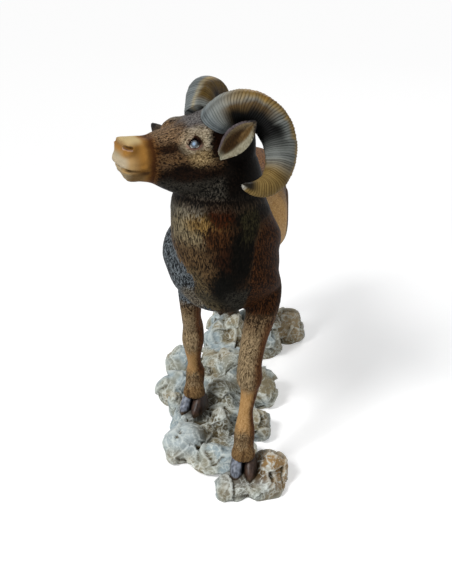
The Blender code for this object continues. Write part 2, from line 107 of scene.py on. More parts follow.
def skinRings(mesh, rings):
    # one closed body through rings of equal count
    rows = [[mesh.verts.new(point) for point in ring] for ring in rings]
    count = len(rows[0])
    made = []
    for near, far in zip(rows, rows[1:]):
        for k in range(count):
            j = (k + 1) % count
            made.append(mesh.faces.new((near[k], near[j], far[j], far[k])))
    made.append(mesh.faces.new(list(reversed(rows[0]))))
    made.append(mesh.faces.new(rows[-1]))
    bmesh.ops.recalc_face_normals(mesh, faces=made)


def addBall(mesh, centre, radii, turn=None, segments=32):
    place = Matrix.Translation(centre)
    if turn is not None:
        place = place @ turn.to_4x4()
    place = place @ Matrix.Diagonal((*radii, 1.0))
    bmesh.ops.create_uvsphere(mesh, u_segments=segments, v_segments=segments // 2, radius=1.0, matrix=place)


def frameAlong(direction, up=upward):
    # X runs along direction, Z leans towards up
    forward = direction.normalized()
    left = up.cross(forward).normalized()
    return Matrix((forward, left, forward.cross(left))).transposed()


def addLimb(mesh, joints, perSpan=8, count=28):
    places = [place for place, _ in joints]
    radii = [radius for _, radius in joints]
    steps = perSpan * (len(joints) - 1)
    rings = []
    for k in range(steps + 1):
        share = k / steps
        here = smoothBetween(places, share)
        ahead = smoothBetween(places, min(share + 0.02, 1.0))
        behind = smoothBetween(places, max(share - 0.02, 0.0))
        turn = frameAlong(ahead - behind, Vector((0, -1, 0.01)))
        radius = smoothBetween(radii, share)
        rings.append(ringPoints(here, turn.col[1], turn.col[2], radius, radius, radius, count))
    skinRings(mesh, rings)


# Trunk, muscles and tail

trunk = {
    "withersHeight": 0.141, "rumpHeight": 0.143, "front": -0.064, "length": 0.159,
    "chestWidth": 0.060, "chestDepth": 0.053, "bellyWidth": 0.056, "bellyDepth": 0.049,
    "rumpWidth": 0.043, "rumpDepth": 0.045, "tailLength": 0.021, "tailRadius": 0.0042,
}


def addTrunk(mesh):
    chest = (trunk["chestWidth"], trunk["chestDepth"], trunk["withersHeight"])
    belly = (trunk["bellyWidth"], trunk["bellyDepth"], trunk["withersHeight"])
    rump = (trunk["rumpWidth"], trunk["rumpDepth"], trunk["rumpHeight"])
    # share of the length, sizes, then the width, back and belly shares
    stations = [
        (0.000, chest, 0.46, 0.25, 0.40), (0.040, chest, 0.80, 0.62, 0.72),
        (0.100, chest, 1.00, 0.92, 0.94), (0.190, chest, 1.00, 1.04, 1.00),
        (0.300, belly, 1.02, 1.00, 1.05), (0.450, belly, 1.02, 0.93, 1.07),
        (0.580, belly, 0.98, 0.94, 1.00), (0.680, belly, 0.92, 0.99, 0.88),
        (0.760, rump, 1.12, 0.99, 0.98), (0.850, rump, 1.06, 1.00, 1.00),
        (0.920, rump, 0.88, 0.84, 0.88), (0.970, rump, 0.60, 0.56, 0.62),
        (1.000, rump, 0.30, 0.30, 0.34),
    ]
    rows = []
    for share, (width, depth, height), widthShare, backShare, bellyShare in stations:
        rows.append((
            trunk["front"] + trunk["length"] * share, height - depth / 2,
            width * widthShare / 2, depth / 2 * backShare, depth / 2 * bellyShare))
    rings = []
    for along, middle, halfWidth, back, under in finerRows(rows, 4):
        rings.append(ringPoints(
            Vector((0, along, middle)), Vector((1, 0, 0)), upward, halfWidth, back, under, 56, 0.9))
    skinRings(mesh, rings)


def addMuscles(mesh):
    for side in (-1, 1):
        drop = 0.030 if side > 0 else 0.024
        shoulderHeight = trunk["withersHeight"] - drop
        shoulder = Vector((side * trunk["chestWidth"] * 0.345, trunk["front"] + 0.022, shoulderHeight))
        addBall(mesh, shoulder, (0.0108, 0.0145, 0.0175))
        haunchBack = trunk["front"] + trunk["length"] * 0.82
        haunch = Vector((side * trunk["rumpWidth"] * 0.36, haunchBack, trunk["rumpHeight"] - 0.033))
        addBall(mesh, haunch, (0.0090, 0.0200, 0.0250))
    brisket = Vector((-0.001, trunk["front"] + 0.019, trunk["withersHeight"] - trunk["chestDepth"] + 0.0095))
    addBall(mesh, brisket, (0.0190, 0.0160, 0.0095))


def addTail(mesh):
    reach, radius = trunk["tailLength"], trunk["tailRadius"]
    root = Vector((0, trunk["front"] + trunk["length"] * 0.93, trunk["rumpHeight"] - trunk["rumpDepth"] * 0.16))
    addLimb(mesh, [
        (root, radius * 1.1),
        (root + Vector((0, reach * 0.52, -reach * 0.24)), radius),
        (root + Vector((0, reach * 0.62, -reach)), radius * 0.45),
    ])


# Neck, mane and head

neck = {"width": 0.045, "depth": 0.046, "maneWidth": 0.058, "maneDepth": 0.051}
head = {
    "poll": Vector((0.0035, -0.0503, 0.176)), "turn": math.radians(58), "noseReach": 0.0550, "skullBack": 0.012,
    "width": 0.0285, "muzzleWidth": 0.0190, "foreheadRise": 0.0185, "jawDrop": 0.0215, "eyeRadius": 0.0031,
}
poll = head["poll"]
noseward = Vector((-math.sin(head["turn"]), -math.cos(head["turn"]), 0))
leftward = Vector((math.cos(head["turn"]), -math.sin(head["turn"]), 0))
headTurn = Matrix((noseward, leftward, upward)).transposed()
neckFoot = trunk["withersHeight"] - trunk["chestDepth"] + 0.006


def onHead(along, left, up):
    return poll + noseward * along + leftward * left + upward * up


def headSpace(points):
    # distances along the nose, to the left and upwards from the poll
    return (points - np.array(poll)) @ np.array(headTurn)


def neckRows():
    width, depth = neck["width"], neck["depth"]
    maneWidth, maneDepth = neck["maneWidth"], neck["maneDepth"]
    # share of the rise, shifts to the side and back, half width and half depth
    stations = [
        (0.00, 0.000, 0.0115, maneWidth * 0.74, maneDepth * 0.76),
        (0.12, 0.000, 0.0085, maneWidth * 0.93, maneDepth * 0.94),
        (0.27, 0.000, 0.0050, maneWidth * 1.00, maneDepth * 1.00),
        (0.43, -0.001, 0.0030, maneWidth * 0.95, maneDepth * 0.99),
        (0.57, -0.0035, 0.0020, width * 1.10, depth * 1.07),
        (0.68, -0.0050, 0.0015, width * 1.00, depth * 1.00),
        (0.80, -0.0035, 0.0010, width * 0.88, depth * 0.90),
        (0.92, -0.0015, 0.0000, width * 0.68, depth * 0.70),
        (1.01, 0.0000, 0.0000, width * 0.44, depth * 0.44),
    ]
    rise = poll.z - neckFoot
    return finerRows([(
        poll.x + side, poll.y + back, neckFoot + rise * share, wide / 2, deep / 2)
        for share, side, back, wide, deep in stations], 5)


def addNeck(mesh):
    rings = []
    for side, along, height, halfWidth, halfDepth in neckRows():
        rings.append(ringPoints(
            Vector((side, along, height)), Vector((1, 0, 0)), Vector((0, 1, 0)), halfWidth, halfDepth, halfDepth, 56))
    skinRings(mesh, rings)
    nape = Vector((poll.x, poll.y + 0.006, poll.z + 0.002))
    withers = Vector((0, trunk["front"] + 0.052, trunk["withersHeight"] - 0.019))
    middle = (nape + withers) / 2 + Vector((0, -0.001, -0.002))
    addLimb(mesh, [(nape, head["width"] * 0.36), (middle, neck["width"] * 0.36), (withers, neck["width"] * 0.46)])


def addHead(mesh):
    reach, rise, drop = head["noseReach"], head["foreheadRise"], head["jawDrop"]
    muzzle, skull = head["muzzleWidth"], head["width"]
    # share of the reach, rise and drop shares, width and its share
    stations = [
        (1.000, 0.02, 0.20, muzzle, 0.36), (0.968, 0.34, 0.41, muzzle, 0.74),
        (0.915, 0.45, 0.51, muzzle, 0.95), (0.820, 0.45, 0.56, muzzle, 1.01),
        (0.725, 0.43, 0.62, muzzle, 1.04), (0.620, 0.52, 0.78, muzzle, 1.12),
        (0.500, 0.61, 0.94, skull, 0.85), (0.410, 0.70, 1.00, skull, 0.93),
        (0.320, 0.80, 1.00, skull, 1.00), (0.190, 0.96, 0.98, skull, 1.03),
        (0.050, 1.00, 0.90, skull, 1.00),
    ]
    rows = [(reach * share, rise * up, drop * down, width * part / 2) for share, up, down, width, part in stations]
    for share, fill in ((0.5, 0.86), (0.85, 0.60), (1.0, 0.30)):
        rows.append((-head["skullBack"] * share, rise * fill, drop * fill, skull * fill / 2))
    rings = []
    for along, up, down, halfWidth in finerRows(rows, 4):
        rings.append(ringPoints(onHead(along, 0, 0), leftward, upward, halfWidth, up, down, 48, 0.88))
    skinRings(mesh, rings)
    for side in (-1, 1):
        addBall(mesh, onHead(0.0225, side * skull * 0.36, 0.0062), (0.0078, 0.0046, 0.0066), headTurn)
        addBall(mesh, onHead(0.0160, side * skull * 0.30, -0.0100), (0.0125, 0.0066, 0.0090), headTurn)
        addBall(mesh, onHead(reach * 0.905, side * muzzle * 0.30, 0.0042), (0.0042, 0.0036, 0.0036), headTurn)
        addBall(mesh, onHead(0.0150, side * 0.0078, 0.0092), (0.0070, 0.0062, 0.0050), headTurn)


# Legs

leg = {
    "elbow": 0.0080, "forearm": 0.0063, "knee": 0.0062, "cannon": 0.0039, "fetlock": 0.0055, "pastern": 0.0053,
    "thigh": 0.0145, "gaskin": 0.0078, "hock": 0.0057,
    "hoofLength": 0.0160, "hoofWidth": 0.0136, "hoofHeight": 0.0095, "dewclaw": 0.0018,
    "frontGround": 0.0095, "middleGround": 0.0155, "backGround": 0.0265,
}


def foreLegJoints(sideAtBody, sideAtHoof, kneeFront, kneeShare, hoofFront, ground, slim):
    elbowHeight = trunk["withersHeight"] - trunk["chestDepth"] + 0.007
    crown = ground + leg["hoofHeight"]
    kneeHeight = crown + (elbowHeight - crown) * kneeShare
    bodyFront = trunk["front"] + 0.022
    sideAtKnee = sideAtHoof * 0.80 + sideAtBody * 0.20
    sideAtForearm = sideAtKnee * 0.75 + sideAtBody * 0.25
    soleBack = hoofFront + leg["hoofLength"] * 0.95
    return [
        (Vector((sideAtBody * 0.92, bodyFront + 0.002, elbowHeight + 0.018)), leg["elbow"] * 1.20),
        (Vector((sideAtBody, bodyFront * 0.8 + kneeFront * 0.2, elbowHeight)), leg["elbow"] * slim),
        (Vector((sideAtForearm, bodyFront * 0.45 + kneeFront * 0.55, (elbowHeight + kneeHeight) / 2)),
         leg["forearm"] * slim),
        (Vector((sideAtKnee, kneeFront + 0.001, kneeHeight + 0.008)), leg["knee"] * 0.93 * max(slim, 1)),
        (Vector((sideAtKnee, kneeFront, kneeHeight)), leg["knee"] * max(slim, 1)),
        (Vector((sideAtKnee, kneeFront + 0.0005, kneeHeight - 0.0075)), leg["cannon"] * 1.20),
        (Vector((sideAtHoof, (kneeFront + soleBack) / 2, (kneeHeight + crown) / 2 + 0.001)), leg["cannon"]),
        (Vector((sideAtHoof, soleBack - 0.0012, crown + 0.0110)), leg["fetlock"]),
        (Vector((sideAtHoof, soleBack - 0.0044, crown + 0.0046)), leg["pastern"]),
        (Vector((sideAtHoof, soleBack - 0.0060, crown + 0.0010)), leg["hoofWidth"] * 0.47),
        (Vector((sideAtHoof, soleBack - 0.0064, crown - 0.0018)), leg["hoofWidth"] * 0.45),
    ]


def hindLegJoints(side, hoofFront, ground):
    crown = ground + leg["hoofHeight"]
    hipHeight = trunk["rumpHeight"] - trunk["rumpDepth"] * 0.6
    hip = Vector((side * 0.9, trunk["front"] + trunk["length"] * 0.80, hipHeight))
    bellyLine = trunk["rumpHeight"] - trunk["rumpDepth"]
    hockHeight = crown + (bellyLine - crown) * 0.50
    soleBack = hoofFront + leg["hoofLength"] * 0.95
    return [
        (hip, leg["thigh"]),
        (Vector((side * 1.15, hip.y - 0.013, bellyLine + 0.001)), leg["thigh"] * 0.86),
        (Vector((side, hip.y + 0.001, bellyLine - 0.010)), leg["gaskin"] * 1.35),
        (Vector((side, hip.y + 0.012, hockHeight + 0.010)), leg["gaskin"] * 0.86),
        (Vector((side, hip.y + 0.020, hockHeight)), leg["hock"]),
        (Vector((side, (hip.y + 0.020 + soleBack) / 2, (hockHeight + crown) / 2 + 0.002)), leg["cannon"] * 1.1),
        (Vector((side, soleBack - 0.0025, crown + 0.0105)), leg["fetlock"]),
        (Vector((side, soleBack - 0.0060, crown + 0.0035)), leg["pastern"]),
        (Vector((side, soleBack - 0.0082, crown - 0.0005)), leg["hoofWidth"] * 0.43),
        (Vector((side, soleBack - 0.0090, crown - 0.0035)), leg["hoofWidth"] * 0.41),
    ]


# name, joints, place of the toe, heading and ground height
legs = [
    ("fore_left", foreLegJoints(0.0214, 0.0150, -0.0625, 0.50, -0.0850, leg["frontGround"], 1.10),
     Vector((0.0158, -0.0850, 0)), Vector((0.05, -1, 0)), leg["frontGround"]),
    ("fore_right", foreLegJoints(-0.0180, -0.0190, -0.0310, 0.50, -0.0385, leg["middleGround"], 0.86),
     Vector((-0.0215, -0.0385, 0)), Vector((-0.28, -1, 0)), leg["middleGround"]),
    ("hind_left", hindLegJoints(0.0125, 0.0620, leg["backGround"]),
     Vector((0.0125, 0.0620, 0)), Vector((0.08, -1, 0)), leg["backGround"]),
    ("hind_right", hindLegJoints(-0.0150, 0.0700, leg["backGround"]),
     Vector((-0.0150, 0.0700, 0)), Vector((-0.08, -1, 0)), leg["backGround"]),
]


# Turning soft masses into one fine skin

def fuse(mesh, voxel, rubs, finer):
    data = bpy.data.meshes.new("lump")
    mesh.to_mesh(data)
    mesh.free()
    lump = bpy.data.objects.new("lump", data)
    bpy.context.scene.collection.objects.link(lump)
    if voxel:
        melt = lump.modifiers.new("melt", "REMESH")
        melt.mode = "VOXEL"
        melt.voxel_size = voxel
    if rubs:
        rub = lump.modifiers.new("rub", "SMOOTH")
        rub.factor = 0.5
        rub.iterations = rubs
    if finer:
        split = lump.modifiers.new("split", "SUBSURF")
        split.levels = finer
        split.render_levels = finer
    done = bpy.data.meshes.new_from_object(lump.evaluated_get(bpy.context.evaluated_depsgraph_get()))
    bpy.data.objects.remove(lump, do_unlink=True)
    return done


def surfaceOf(data):
    points = np.empty(len(data.vertices) * 3)
    data.vertices.foreach_get("co", points)
    data.calc_loop_triangles()
    faces = np.empty(len(data.loop_triangles) * 3, dtype=np.int32)
    data.loop_triangles.foreach_get("vertices", faces)
    return points.reshape(-1, 3), faces.reshape(-1, 3)


def pointsOf(mesh):
    # the points and triangles of a mesh that was being built, which ends here
    data = bpy.data.meshes.new("rough")
    mesh.to_mesh(data)
    mesh.free()
    return surfaceOf(data)


def treeOf(points):
    tree = kdtree.KDTree(len(points))
    for index, point in enumerate(points.tolist()):
        tree.insert(point, index)
    tree.balance()
    return tree


def pointNormals(points, faces):
    corner = points[faces]
    facing = np.cross(corner[:, 1] - corner[:, 0], corner[:, 2] - corner[:, 0])
    total = np.zeros_like(points)
    for k in range(3):
        for axis in range(3):
            total[:, axis] += np.bincount(faces[:, k], facing[:, axis], len(points))
    return total / np.maximum(np.linalg.norm(total, axis=1), 1e-15)[:, None]


def edgesOf(faces, count):
    pairs = np.sort(faces[:, [0, 1, 1, 2, 2, 0]].reshape(-1, 2), axis=1).astype(np.int64)
    keys = np.unique(pairs[:, 0] * count + pairs[:, 1])
    return keys // count, keys % count


def rubbed(values, edges, rounds):
    # values averaged with those of the neighbours, several times
    one, two = edges
    count = len(values)
    degree = np.bincount(one, minlength=count) + np.bincount(two, minlength=count)
    values = values.astype(float).reshape(count, -1)
    for _ in range(rounds):
        mean = np.empty_like(values)
        for axis in range(values.shape[1]):
            column = values[:, axis]
            mean[:, axis] = np.bincount(one, column[two], count) + np.bincount(two, column[one], count)
        values = 0.5 * values + 0.5 * mean / degree[:, None]
    return values


def hollowness(points, faces, edges, rounds, depth):
    # 0.5 on even ground, towards 1 in a hollow and towards 0 on an edge
    normals = pointNormals(points, faces)
    sunk = np.einsum("ij,ij->i", rubbed(points, edges, rounds) - points, normals)
    return np.clip(0.5 + 0.5 * sunk / depth, 0, 1)


def wander(points, size, octaves=3, seed=0.0):
    # soft noise of about -1 to 1 whose features are about size across
    shift = Vector((seed, seed * 1.7, seed * 2.3))
    return np.array([noise.fractal(Vector(p) / size + shift, 1.0, 2.0, octaves) for p in points])


def makePiece(name, points, faces, layers, normals=None):
    data = bpy.data.meshes.new(name)
    data.from_pydata(points.tolist(), [], faces.tolist() if hasattr(faces, "tolist") else faces)
    data.validate()
    for layer, values in layers.items():
        if values.ndim == 1:
            data.attributes.new(layer, "FLOAT", "POINT").data.foreach_set("value", values.astype(np.float32))
        else:
            full = np.ones((len(values), 4), dtype=np.float32)
            full[:, :3] = values
            data.attributes.new(layer, "FLOAT_COLOR", "POINT").data.foreach_set("color", full.ravel())
    data.shade_smooth()
    if normals is not None:
        data.normals_split_custom_set_from_vertices(normals.tolist())
    piece = bpy.data.objects.new(name, data)
    bpy.context.scene.collection.objects.link(piece)
    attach(piece, "root")
    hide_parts("mouflon_figure")
    return piece


clay = {"voxel": 0.0010, "rubs": 5}
soft = bmesh.new()
addTrunk(soft)
addMuscles(soft)
addTail(soft)
addNeck(soft)
addHead(soft)
for _, joints, _, _, _ in legs:
    addLimb(soft, joints)
body = fuse(soft, clay["voxel"], clay["rubs"], 1)
print("clay body", len(body.vertices), "points")

# The face gets a finer skin before it is modelled
refine = bmesh.new()
refine.from_mesh(body)
refine.faces.ensure_lookup_table()
centres = np.empty(len(body.polygons) * 3)
body.polygons.foreach_get("center", centres)
place = headSpace(centres.reshape(-1, 3)) / mm
nearEye = np.hypot(np.hypot(place[:, 0] - 22, place[:, 2] - 5.4), (np.abs(place[:, 1]) - 13) * 0.8) < 6.5
nearMouth = (place[:, 0] > 42) & (place[:, 2] > -14)
chosen = np.nonzero(nearEye | nearMouth)[0]
rim = set()
for k in chosen:
    rim.update(refine.faces[k].edges)
bmesh.ops.subdivide_edges(refine, edges=list(rim), cuts=1, use_grid_fill=True)
refine.to_mesh(body)
refine.free()
skin, skinFaces = surfaceOf(body)
skinEdges = edgesOf(skinFaces, len(skin))
# a hollow behind and above the left elbow, a lighter one under the right shoulder
x, y, z = skin.T
slant = z + (y + 0.050) * 0.46
leftTuck = smoothStep(0.104, 0.115, slant) * smoothStep(0.136, 0.122, slant) * smoothStep(0, 0.012, x) * 0.115
rightTuck = smoothStep(0.094, 0.099, z) * smoothStep(0.118, 0.106, z) * smoothStep(0, -0.010, x) * 0.05
skin[:, 0] *= 1 - (leftTuck + rightTuck) * smoothStep(0.070, 0.050, y)
print("refined body", len(skin), "points", len(skinFaces), "triangles")


# Modelling the face; places and reaches in millimetres on the head

face = {
    "eyeAlong": 22.7, "eyeSide": 12.26, "eyeUp": 5.9, "openHalf": 2.60, "openTop": 2.70, "openFoot": 1.75,
    "mouth": [(57.5, 0, -3.3), (56.2, 3.2, -3.5), (53.5, 6.4, -4.3), (49.5, 8.6, -5.2), (46, 9.3, -5.6),
              (43.6, 9.6, -5.3)],
    "nostril": [(50.0, 8.9, 5.6), (51.5, 8.4, 5.7), (52.8, 7.2, 6.1), (53.7, 5.8, 6.7)],
    "philtrum": [(57.5, 0, 3.0), (58.2, 0, -0.5), (57.6, 0, -2.6)],
}
# centre, reach, direction, and how far: built up if positive, pressed in if negative
faceStrokes = {
    "brow": ((20.0, 12.6, 11.4), (8.0, 4.5, 3.4), (0, 0.7, 0.7), 0.9),
    "browFront": ((28.0, 8.8, 10.2), (6.0, 3.5, 3.0), (0, 0.5, 0.8), 0.5),
    "tearHollow": ((29.2, 11.5, 5.2), (5.5, 4.0, 2.6), (0, 1, 0), -0.8),
    "underEye": ((23.0, 14.0, -0.6), (8.0, 4.0, 2.2), (0, 1, 0), -0.5),
    "cheekbone": ((30.0, 12.0, -2.8), (13.0, 4.0, 2.6), (0, 1, -0.1), 0.5),
    "cheekHollow": ((37.0, 10.5, -6.0), (7.0, 4.0, 4.0), (0, 1, 0), -0.6),
    "noseBone": ((38.0, 5.2, 8.4), (14.0, 2.6, 2.2), (0, 0.5, 0.8), 0.4),
    "noseDip": ((43.0, 0.0, 8.4), (9.0, 5.0, 3.0), (0, 0, 1), -0.3),
    "muzzleDip": ((46.5, 9.5, 2.6), (4.0, 3.5, 4.5), (0, 1, 0), -0.6),
    "noseWing": ((53.2, 8.0, 7.6), (4.2, 3.2, 2.2), (0.1, 0.8, 0.6), 0.7),
    "noseWingFoot": ((52.5, 8.6, 2.8), (4.2, 3.0, 1.8), (0.1, 1, 0), 0.5),
    "upperLip": ((50.5, 8.4, -1.6), (6.5, 3.6, 3.0), (0.2, 1, 0), 0.5),
    "lowerLip": ((51.5, 6.5, -7.2), (6.0, 4.0, 2.2), (0.3, 0.8, 0), 0.5),
    "chin": ((49.5, 3.0, -10.2), (6.0, 4.5, 2.6), (0.1, 0.2, -1), 0.5),
    "mouthCorner": ((42.6, 10.2, -5.4), (2.2, 2.2, 2.2), (0, 1, 0), 0.35),
}
middleStrokes = {
    "noseTop": ((52.6, 0, 7.4), (3.4, 7.0, 3.2), (0.2, 0, 1), 1.1),
    "noseFront": ((55.4, 0, 4.8), (4.4, 10.0, 4.4), (-1, 0, 0), 1.3),
    "lipFront": ((55.4, 0, -0.4), (4.2, 9.5, 3.4), (1, 0, 0), 1.2),
    "mouthFront": ((55.6, 0, -3.6), (3.0, 8.0, 1.4), (-1, 0, 0), 1.0),
    "lowerLipFront": ((55.0, 0, -6.0), (3.6, 8.0, 2.4), (-1, 0, 0), 0.6),
    "chinFront": ((54.6, 0, -9.4), (4.8, 8.5, 3.6), (-1, 0, 0.2), 2.2),
}


def lineDistance(points, line):
    best = np.full(len(points), 1e9)
    for start, end in zip(line, line[1:]):
        start, span = np.array(start, float), np.array(end, float) - np.array(start, float)
        share = np.clip((points - start) @ span / (span @ span), 0, 1)
        best = np.minimum(best, np.linalg.norm(points - start - share[:, None] * span, axis=1))
    return best


def mirrored(triple, side):
    return np.array((triple[0], triple[1] * side, triple[2]), float)


near = np.nonzero(headSpace(skin)[:, 2] > -0.026)[0]
spot = headSpace(skin[near]) / mm
turnBack = np.array(headTurn).T


def press(centre, reach, direction, amount):
    away = np.linalg.norm((spot - centre) / reach, axis=1)
    spot[:] += np.outer(smoothStep(1, 0, away) * amount, direction / np.linalg.norm(direction))


for centre, reach, direction, amount in middleStrokes.values():
    press(centre, reach, np.array(direction, float), amount)
for side in (-1, 1):
    for centre, reach, direction, amount in faceStrokes.values():
        press(mirrored(centre, side), reach, mirrored(direction, side), amount)
    outward = np.array((0, side, 0.0))
    for line, radius, depth, shift in (
            ("mouth", 0.95, -0.95, 0.0), ("mouth", 1.6, 0.35, 1.7), ("mouth", 1.4, 0.30, -1.5),
            ("nostril", 0.95, -1.5, 0.0), ("nostril", 1.2, 0.35, 1.5), ("nostril", 0.9, 0.25, -1.3)):
        path = [mirrored(place, side) + (0, 0, shift) for place in face[line]]
        weight = smoothStep(radius, 0, lineDistance(spot, path))
        inward = spot - np.array((44, 0, 0))
        inward /= np.linalg.norm(inward, axis=1)[:, None]
        spot += inward * (weight * depth)[:, None]
weight = smoothStep(1.0, 0, lineDistance(spot, face["philtrum"]))
spot[:, 0] -= weight * 0.45

# Eye openings and lids
lidRing = np.full(len(skin), 9.0)
for side in (-1, 1):
    ahead, above = spot[:, 0] - face["eyeAlong"], spot[:, 2] - face["eyeUp"]
    high = (np.abs(ahead - 0.25) / face["openHalf"]) ** 1.45 + (np.abs(above) / face["openTop"]) ** 1.45
    high = high ** (1 / 1.45)
    low = np.hypot(ahead / face["openHalf"], above / face["openFoot"])
    ring = np.where(above > 0, high, low)
    ring[spot[:, 1] * side < 7] = 9
    upperLid = smoothStep(-0.5, 1.0, above)
    spot[:, 1] += side * np.exp(-((ring - 1.22) / 0.16) ** 2) * (0.35 + 0.35 * upperLid)
    spot[:, 1] -= side * np.exp(-((ring - 1.72) / 0.20) ** 2) * (0.15 + 0.25 * upperLid)
    spot[:, 1] -= side * smoothStep(1.06, 0.90, ring) * 2.3
    lidRing[near] = np.minimum(lidRing[near], ring)
skin[near] = np.array(poll) + (spot * mm) @ turnBack
print("face modelled")


# Fur: which way it lies, then strands laid like shingles

# height, then the right and the left edge of the mane over the shoulders, in millimetres
maneEdges = [(88, 4, 8), (94, -3, 11), (99, -8, 14), (103, -11.5, 15), (110, -11, 16.5), (116, -11.5, 16.5),
             (120, -15, 16.5), (124, -18.5, 17), (130, -23, 18), (136, -26, 18.5), (142, -40, 20), (150, -50, 40)]

def onMane(points):
    # 1 on the mane, 0 on the shoulders beside it
    rows = np.array(neckRows())
    height = points[:, 2]
    side, along, halfWidth, halfDepth = (np.interp(height, rows[:, 2], rows[:, k]) for k in (0, 1, 3, 4))
    away = np.hypot((points[:, 0] - side) / halfWidth, (points[:, 1] - along) / halfDepth)
    mask = smoothStep(1.12, 1.04, away) * smoothStep(0.084, 0.090, height)
    mask *= smoothStep(-0.026, -0.032, points[:, 1] + (height - 0.12) * -0.15)
    rough = wander(points, 0.006, 2, 6.0) * 0.0012
    levels = np.array([row[0] for row in maneEdges]) * mm
    right, left = (np.interp(height, levels, [row[k] * mm for row in maneEdges]) for k in (1, 2))
    mask *= smoothStep(-0.0008, 0.0008, points[:, 0] + rough - right)
    return mask * smoothStep(0.0008, -0.0008, points[:, 0] + rough - left)


def hairFlow(points, normals, mane, onTheHead, onLegs):
    x, y, z = points.T
    flow = np.zeros_like(points)
    flow[:] = (0, 1, -0.30)
    rump = smoothStep(0.060, 0.090, y)[:, None]
    flow = flow * (1 - rump) + np.array((0, 0.5, -1.0)) * rump
    shoulder = (smoothStep(-0.015, -0.035, y))[:, None]
    flow = flow * (1 - shoulder) + np.array((0, 0.35, -1.0)) * shoulder
    maneWay = np.stack([-(x - 0.003) / 0.045, np.zeros_like(x), -np.ones_like(x)], axis=1)
    flow = flow * (1 - mane[:, None]) + maneWay * mane[:, None]
    legWay = np.stack([-0.25 * np.sign(x), -0.15 + 0 * x, -np.ones_like(x)], axis=1)
    flow = flow * (1 - onLegs[:, None]) + legWay * onLegs[:, None]
    local = headSpace(points)
    headWay = -np.array(noseward) + np.array((0, 0, -0.25))
    cheek = smoothStep(-0.002, -0.012, local[:, 2])[:, None]
    headWay = headWay * (1 - cheek) + np.array((0.55, 0.3, -0.8)) * cheek
    flow = flow * (1 - onTheHead[:, None]) + headWay * onTheHead[:, None]
    flow -= normals * np.einsum("ij,ij->i", flow, normals)[:, None]
    return flow / np.maximum(np.linalg.norm(flow, axis=1), 1e-9)[:, None]


def pickRoots(points, where, spacing, dice):
    # one point in each little cube of the region
    inside = dice.permutation(np.nonzero(where)[0])
    cell = np.floor(points[inside] / spacing).astype(np.int64) + 2000
    _, first = np.unique((cell[:, 0] * 4096 + cell[:, 1]) * 4096 + cell[:, 2], return_index=True)
    return dice.permutation(inside[first])


def layStrands(tree, points, normals, flow, roots, strand, dice, height, tone, owner):
    # each strand rises from its root to a pointed tip and covers what lies lower
    count = len(roots)
    widths = strand["width"] * dice.uniform(0.75, 1.25, count)
    lengths = strand["length"] * dice.uniform(0.7, 1.3, count)
    rises = strand["rise"] * dice.uniform(0.55, 1.0, count)
    turns = dice.normal(0, math.radians(strand["stray"]), count)
    tones = dice.uniform(0, 1, count)
    for k, root in enumerate(roots):
        normal = normals[root]
        along = flow[root] * math.cos(turns[k]) + np.cross(normal, flow[root]) * math.sin(turns[k])
        across = np.cross(normal, along)
        start = points[root]
        hits = tree.find_range(start + along * (lengths[k] * 0.5), lengths[k] * 0.60)
        reached = np.array([hit[1] for hit in hits])
        if len(reached) == 0:
            continue
        offset = points[reached] - start
        share = offset @ along / lengths[k]
        bow = np.abs(offset @ across) / (widths[k] * 0.5 * np.clip(1.1 - share ** 3, 0.12, 1))
        inside = (share > 0) & (share < 1) & (bow < 1) & (normals[reached] @ normal > 0.2)
        reached, share, bow = reached[inside], share[inside], bow[inside]
        lift = rises[k] * (0.25 + 0.75 * share) * (1 - bow ** 2) ** 0.7
        higher = lift > height[reached]
        reached = reached[higher]
        height[reached] = lift[higher]
        tone[reached] = tones[k]
        owner[reached] = root


def besideLeg(joints):
    # the skin near one leg's fetlock, seen from above
    fetlock = joints[-3][0]
    return np.hypot(skin[:, 0] - fetlock.x, skin[:, 1] - fetlock.y) < 0.022


normals = pointNormals(skin, skinFaces)
local = headSpace(skin) / mm
mane = onMane(skin)
onTheHead = smoothStep(-26, -17, local[:, 2]) * smoothStep(-24, -12, local[:, 0])
onLegs = smoothStep(0.092, 0.084, skin[:, 2])
mane = mane * (1 - onTheHead)
flow = hairFlow(skin, normals, mane, onTheHead, onLegs)
bare = smoothStep(41.5, 38.0, local[:, 0]) * smoothStep(1.35, 1.75, lidRing)
shank = np.zeros(len(skin))
frayed = wander(skin, 0.0022, 2, 4.0)
for _, joints, _, _, _ in legs:
    low, high = joints[-4][0].z + 0.001, joints[-6][0].z + 0.001
    level = skin[:, 2] + frayed * 0.0022
    mask = smoothStep(low, low + 0.004, level) * smoothStep(high + 0.005, high - 0.004, level)
    shank = np.maximum(shank, mask * besideLeg(joints))
strands = {
    "mane": {"spacing": 0.00092, "width": 0.00098, "length": 0.0044, "rise": 0.00042, "stray": 13},
    "head": {"spacing": 0.00062, "width": 0.00066, "length": 0.0018, "rise": 0.00022, "stray": 24},
    "shoulder": {"spacing": 0.00080, "width": 0.00078, "length": 0.0022, "rise": 0.00026, "stray": 34},
    "trunk": {"spacing": 0.00095, "width": 0.00092, "length": 0.0034, "rise": 0.00025, "stray": 16},
    "legs": {"spacing": 0.00078, "width": 0.00080, "length": 0.0028, "rise": 0.00024, "stray": 14},
}
regions = {
    "mane": mane > 0.5,
    "head": (onTheHead > 0.5) & (mane <= 0.5) & (bare > 0.3),
    "legs": onLegs > 0.5,
}
regions["shoulder"] = (skin[:, 1] < -0.018) & (mane <= 0.5) & (onTheHead <= 0.5) & (onLegs <= 0.5)
regions["trunk"] = (skin[:, 1] >= -0.018) & (onTheHead <= 0.5) & (onLegs <= 0.5) & (mane <= 0.5)

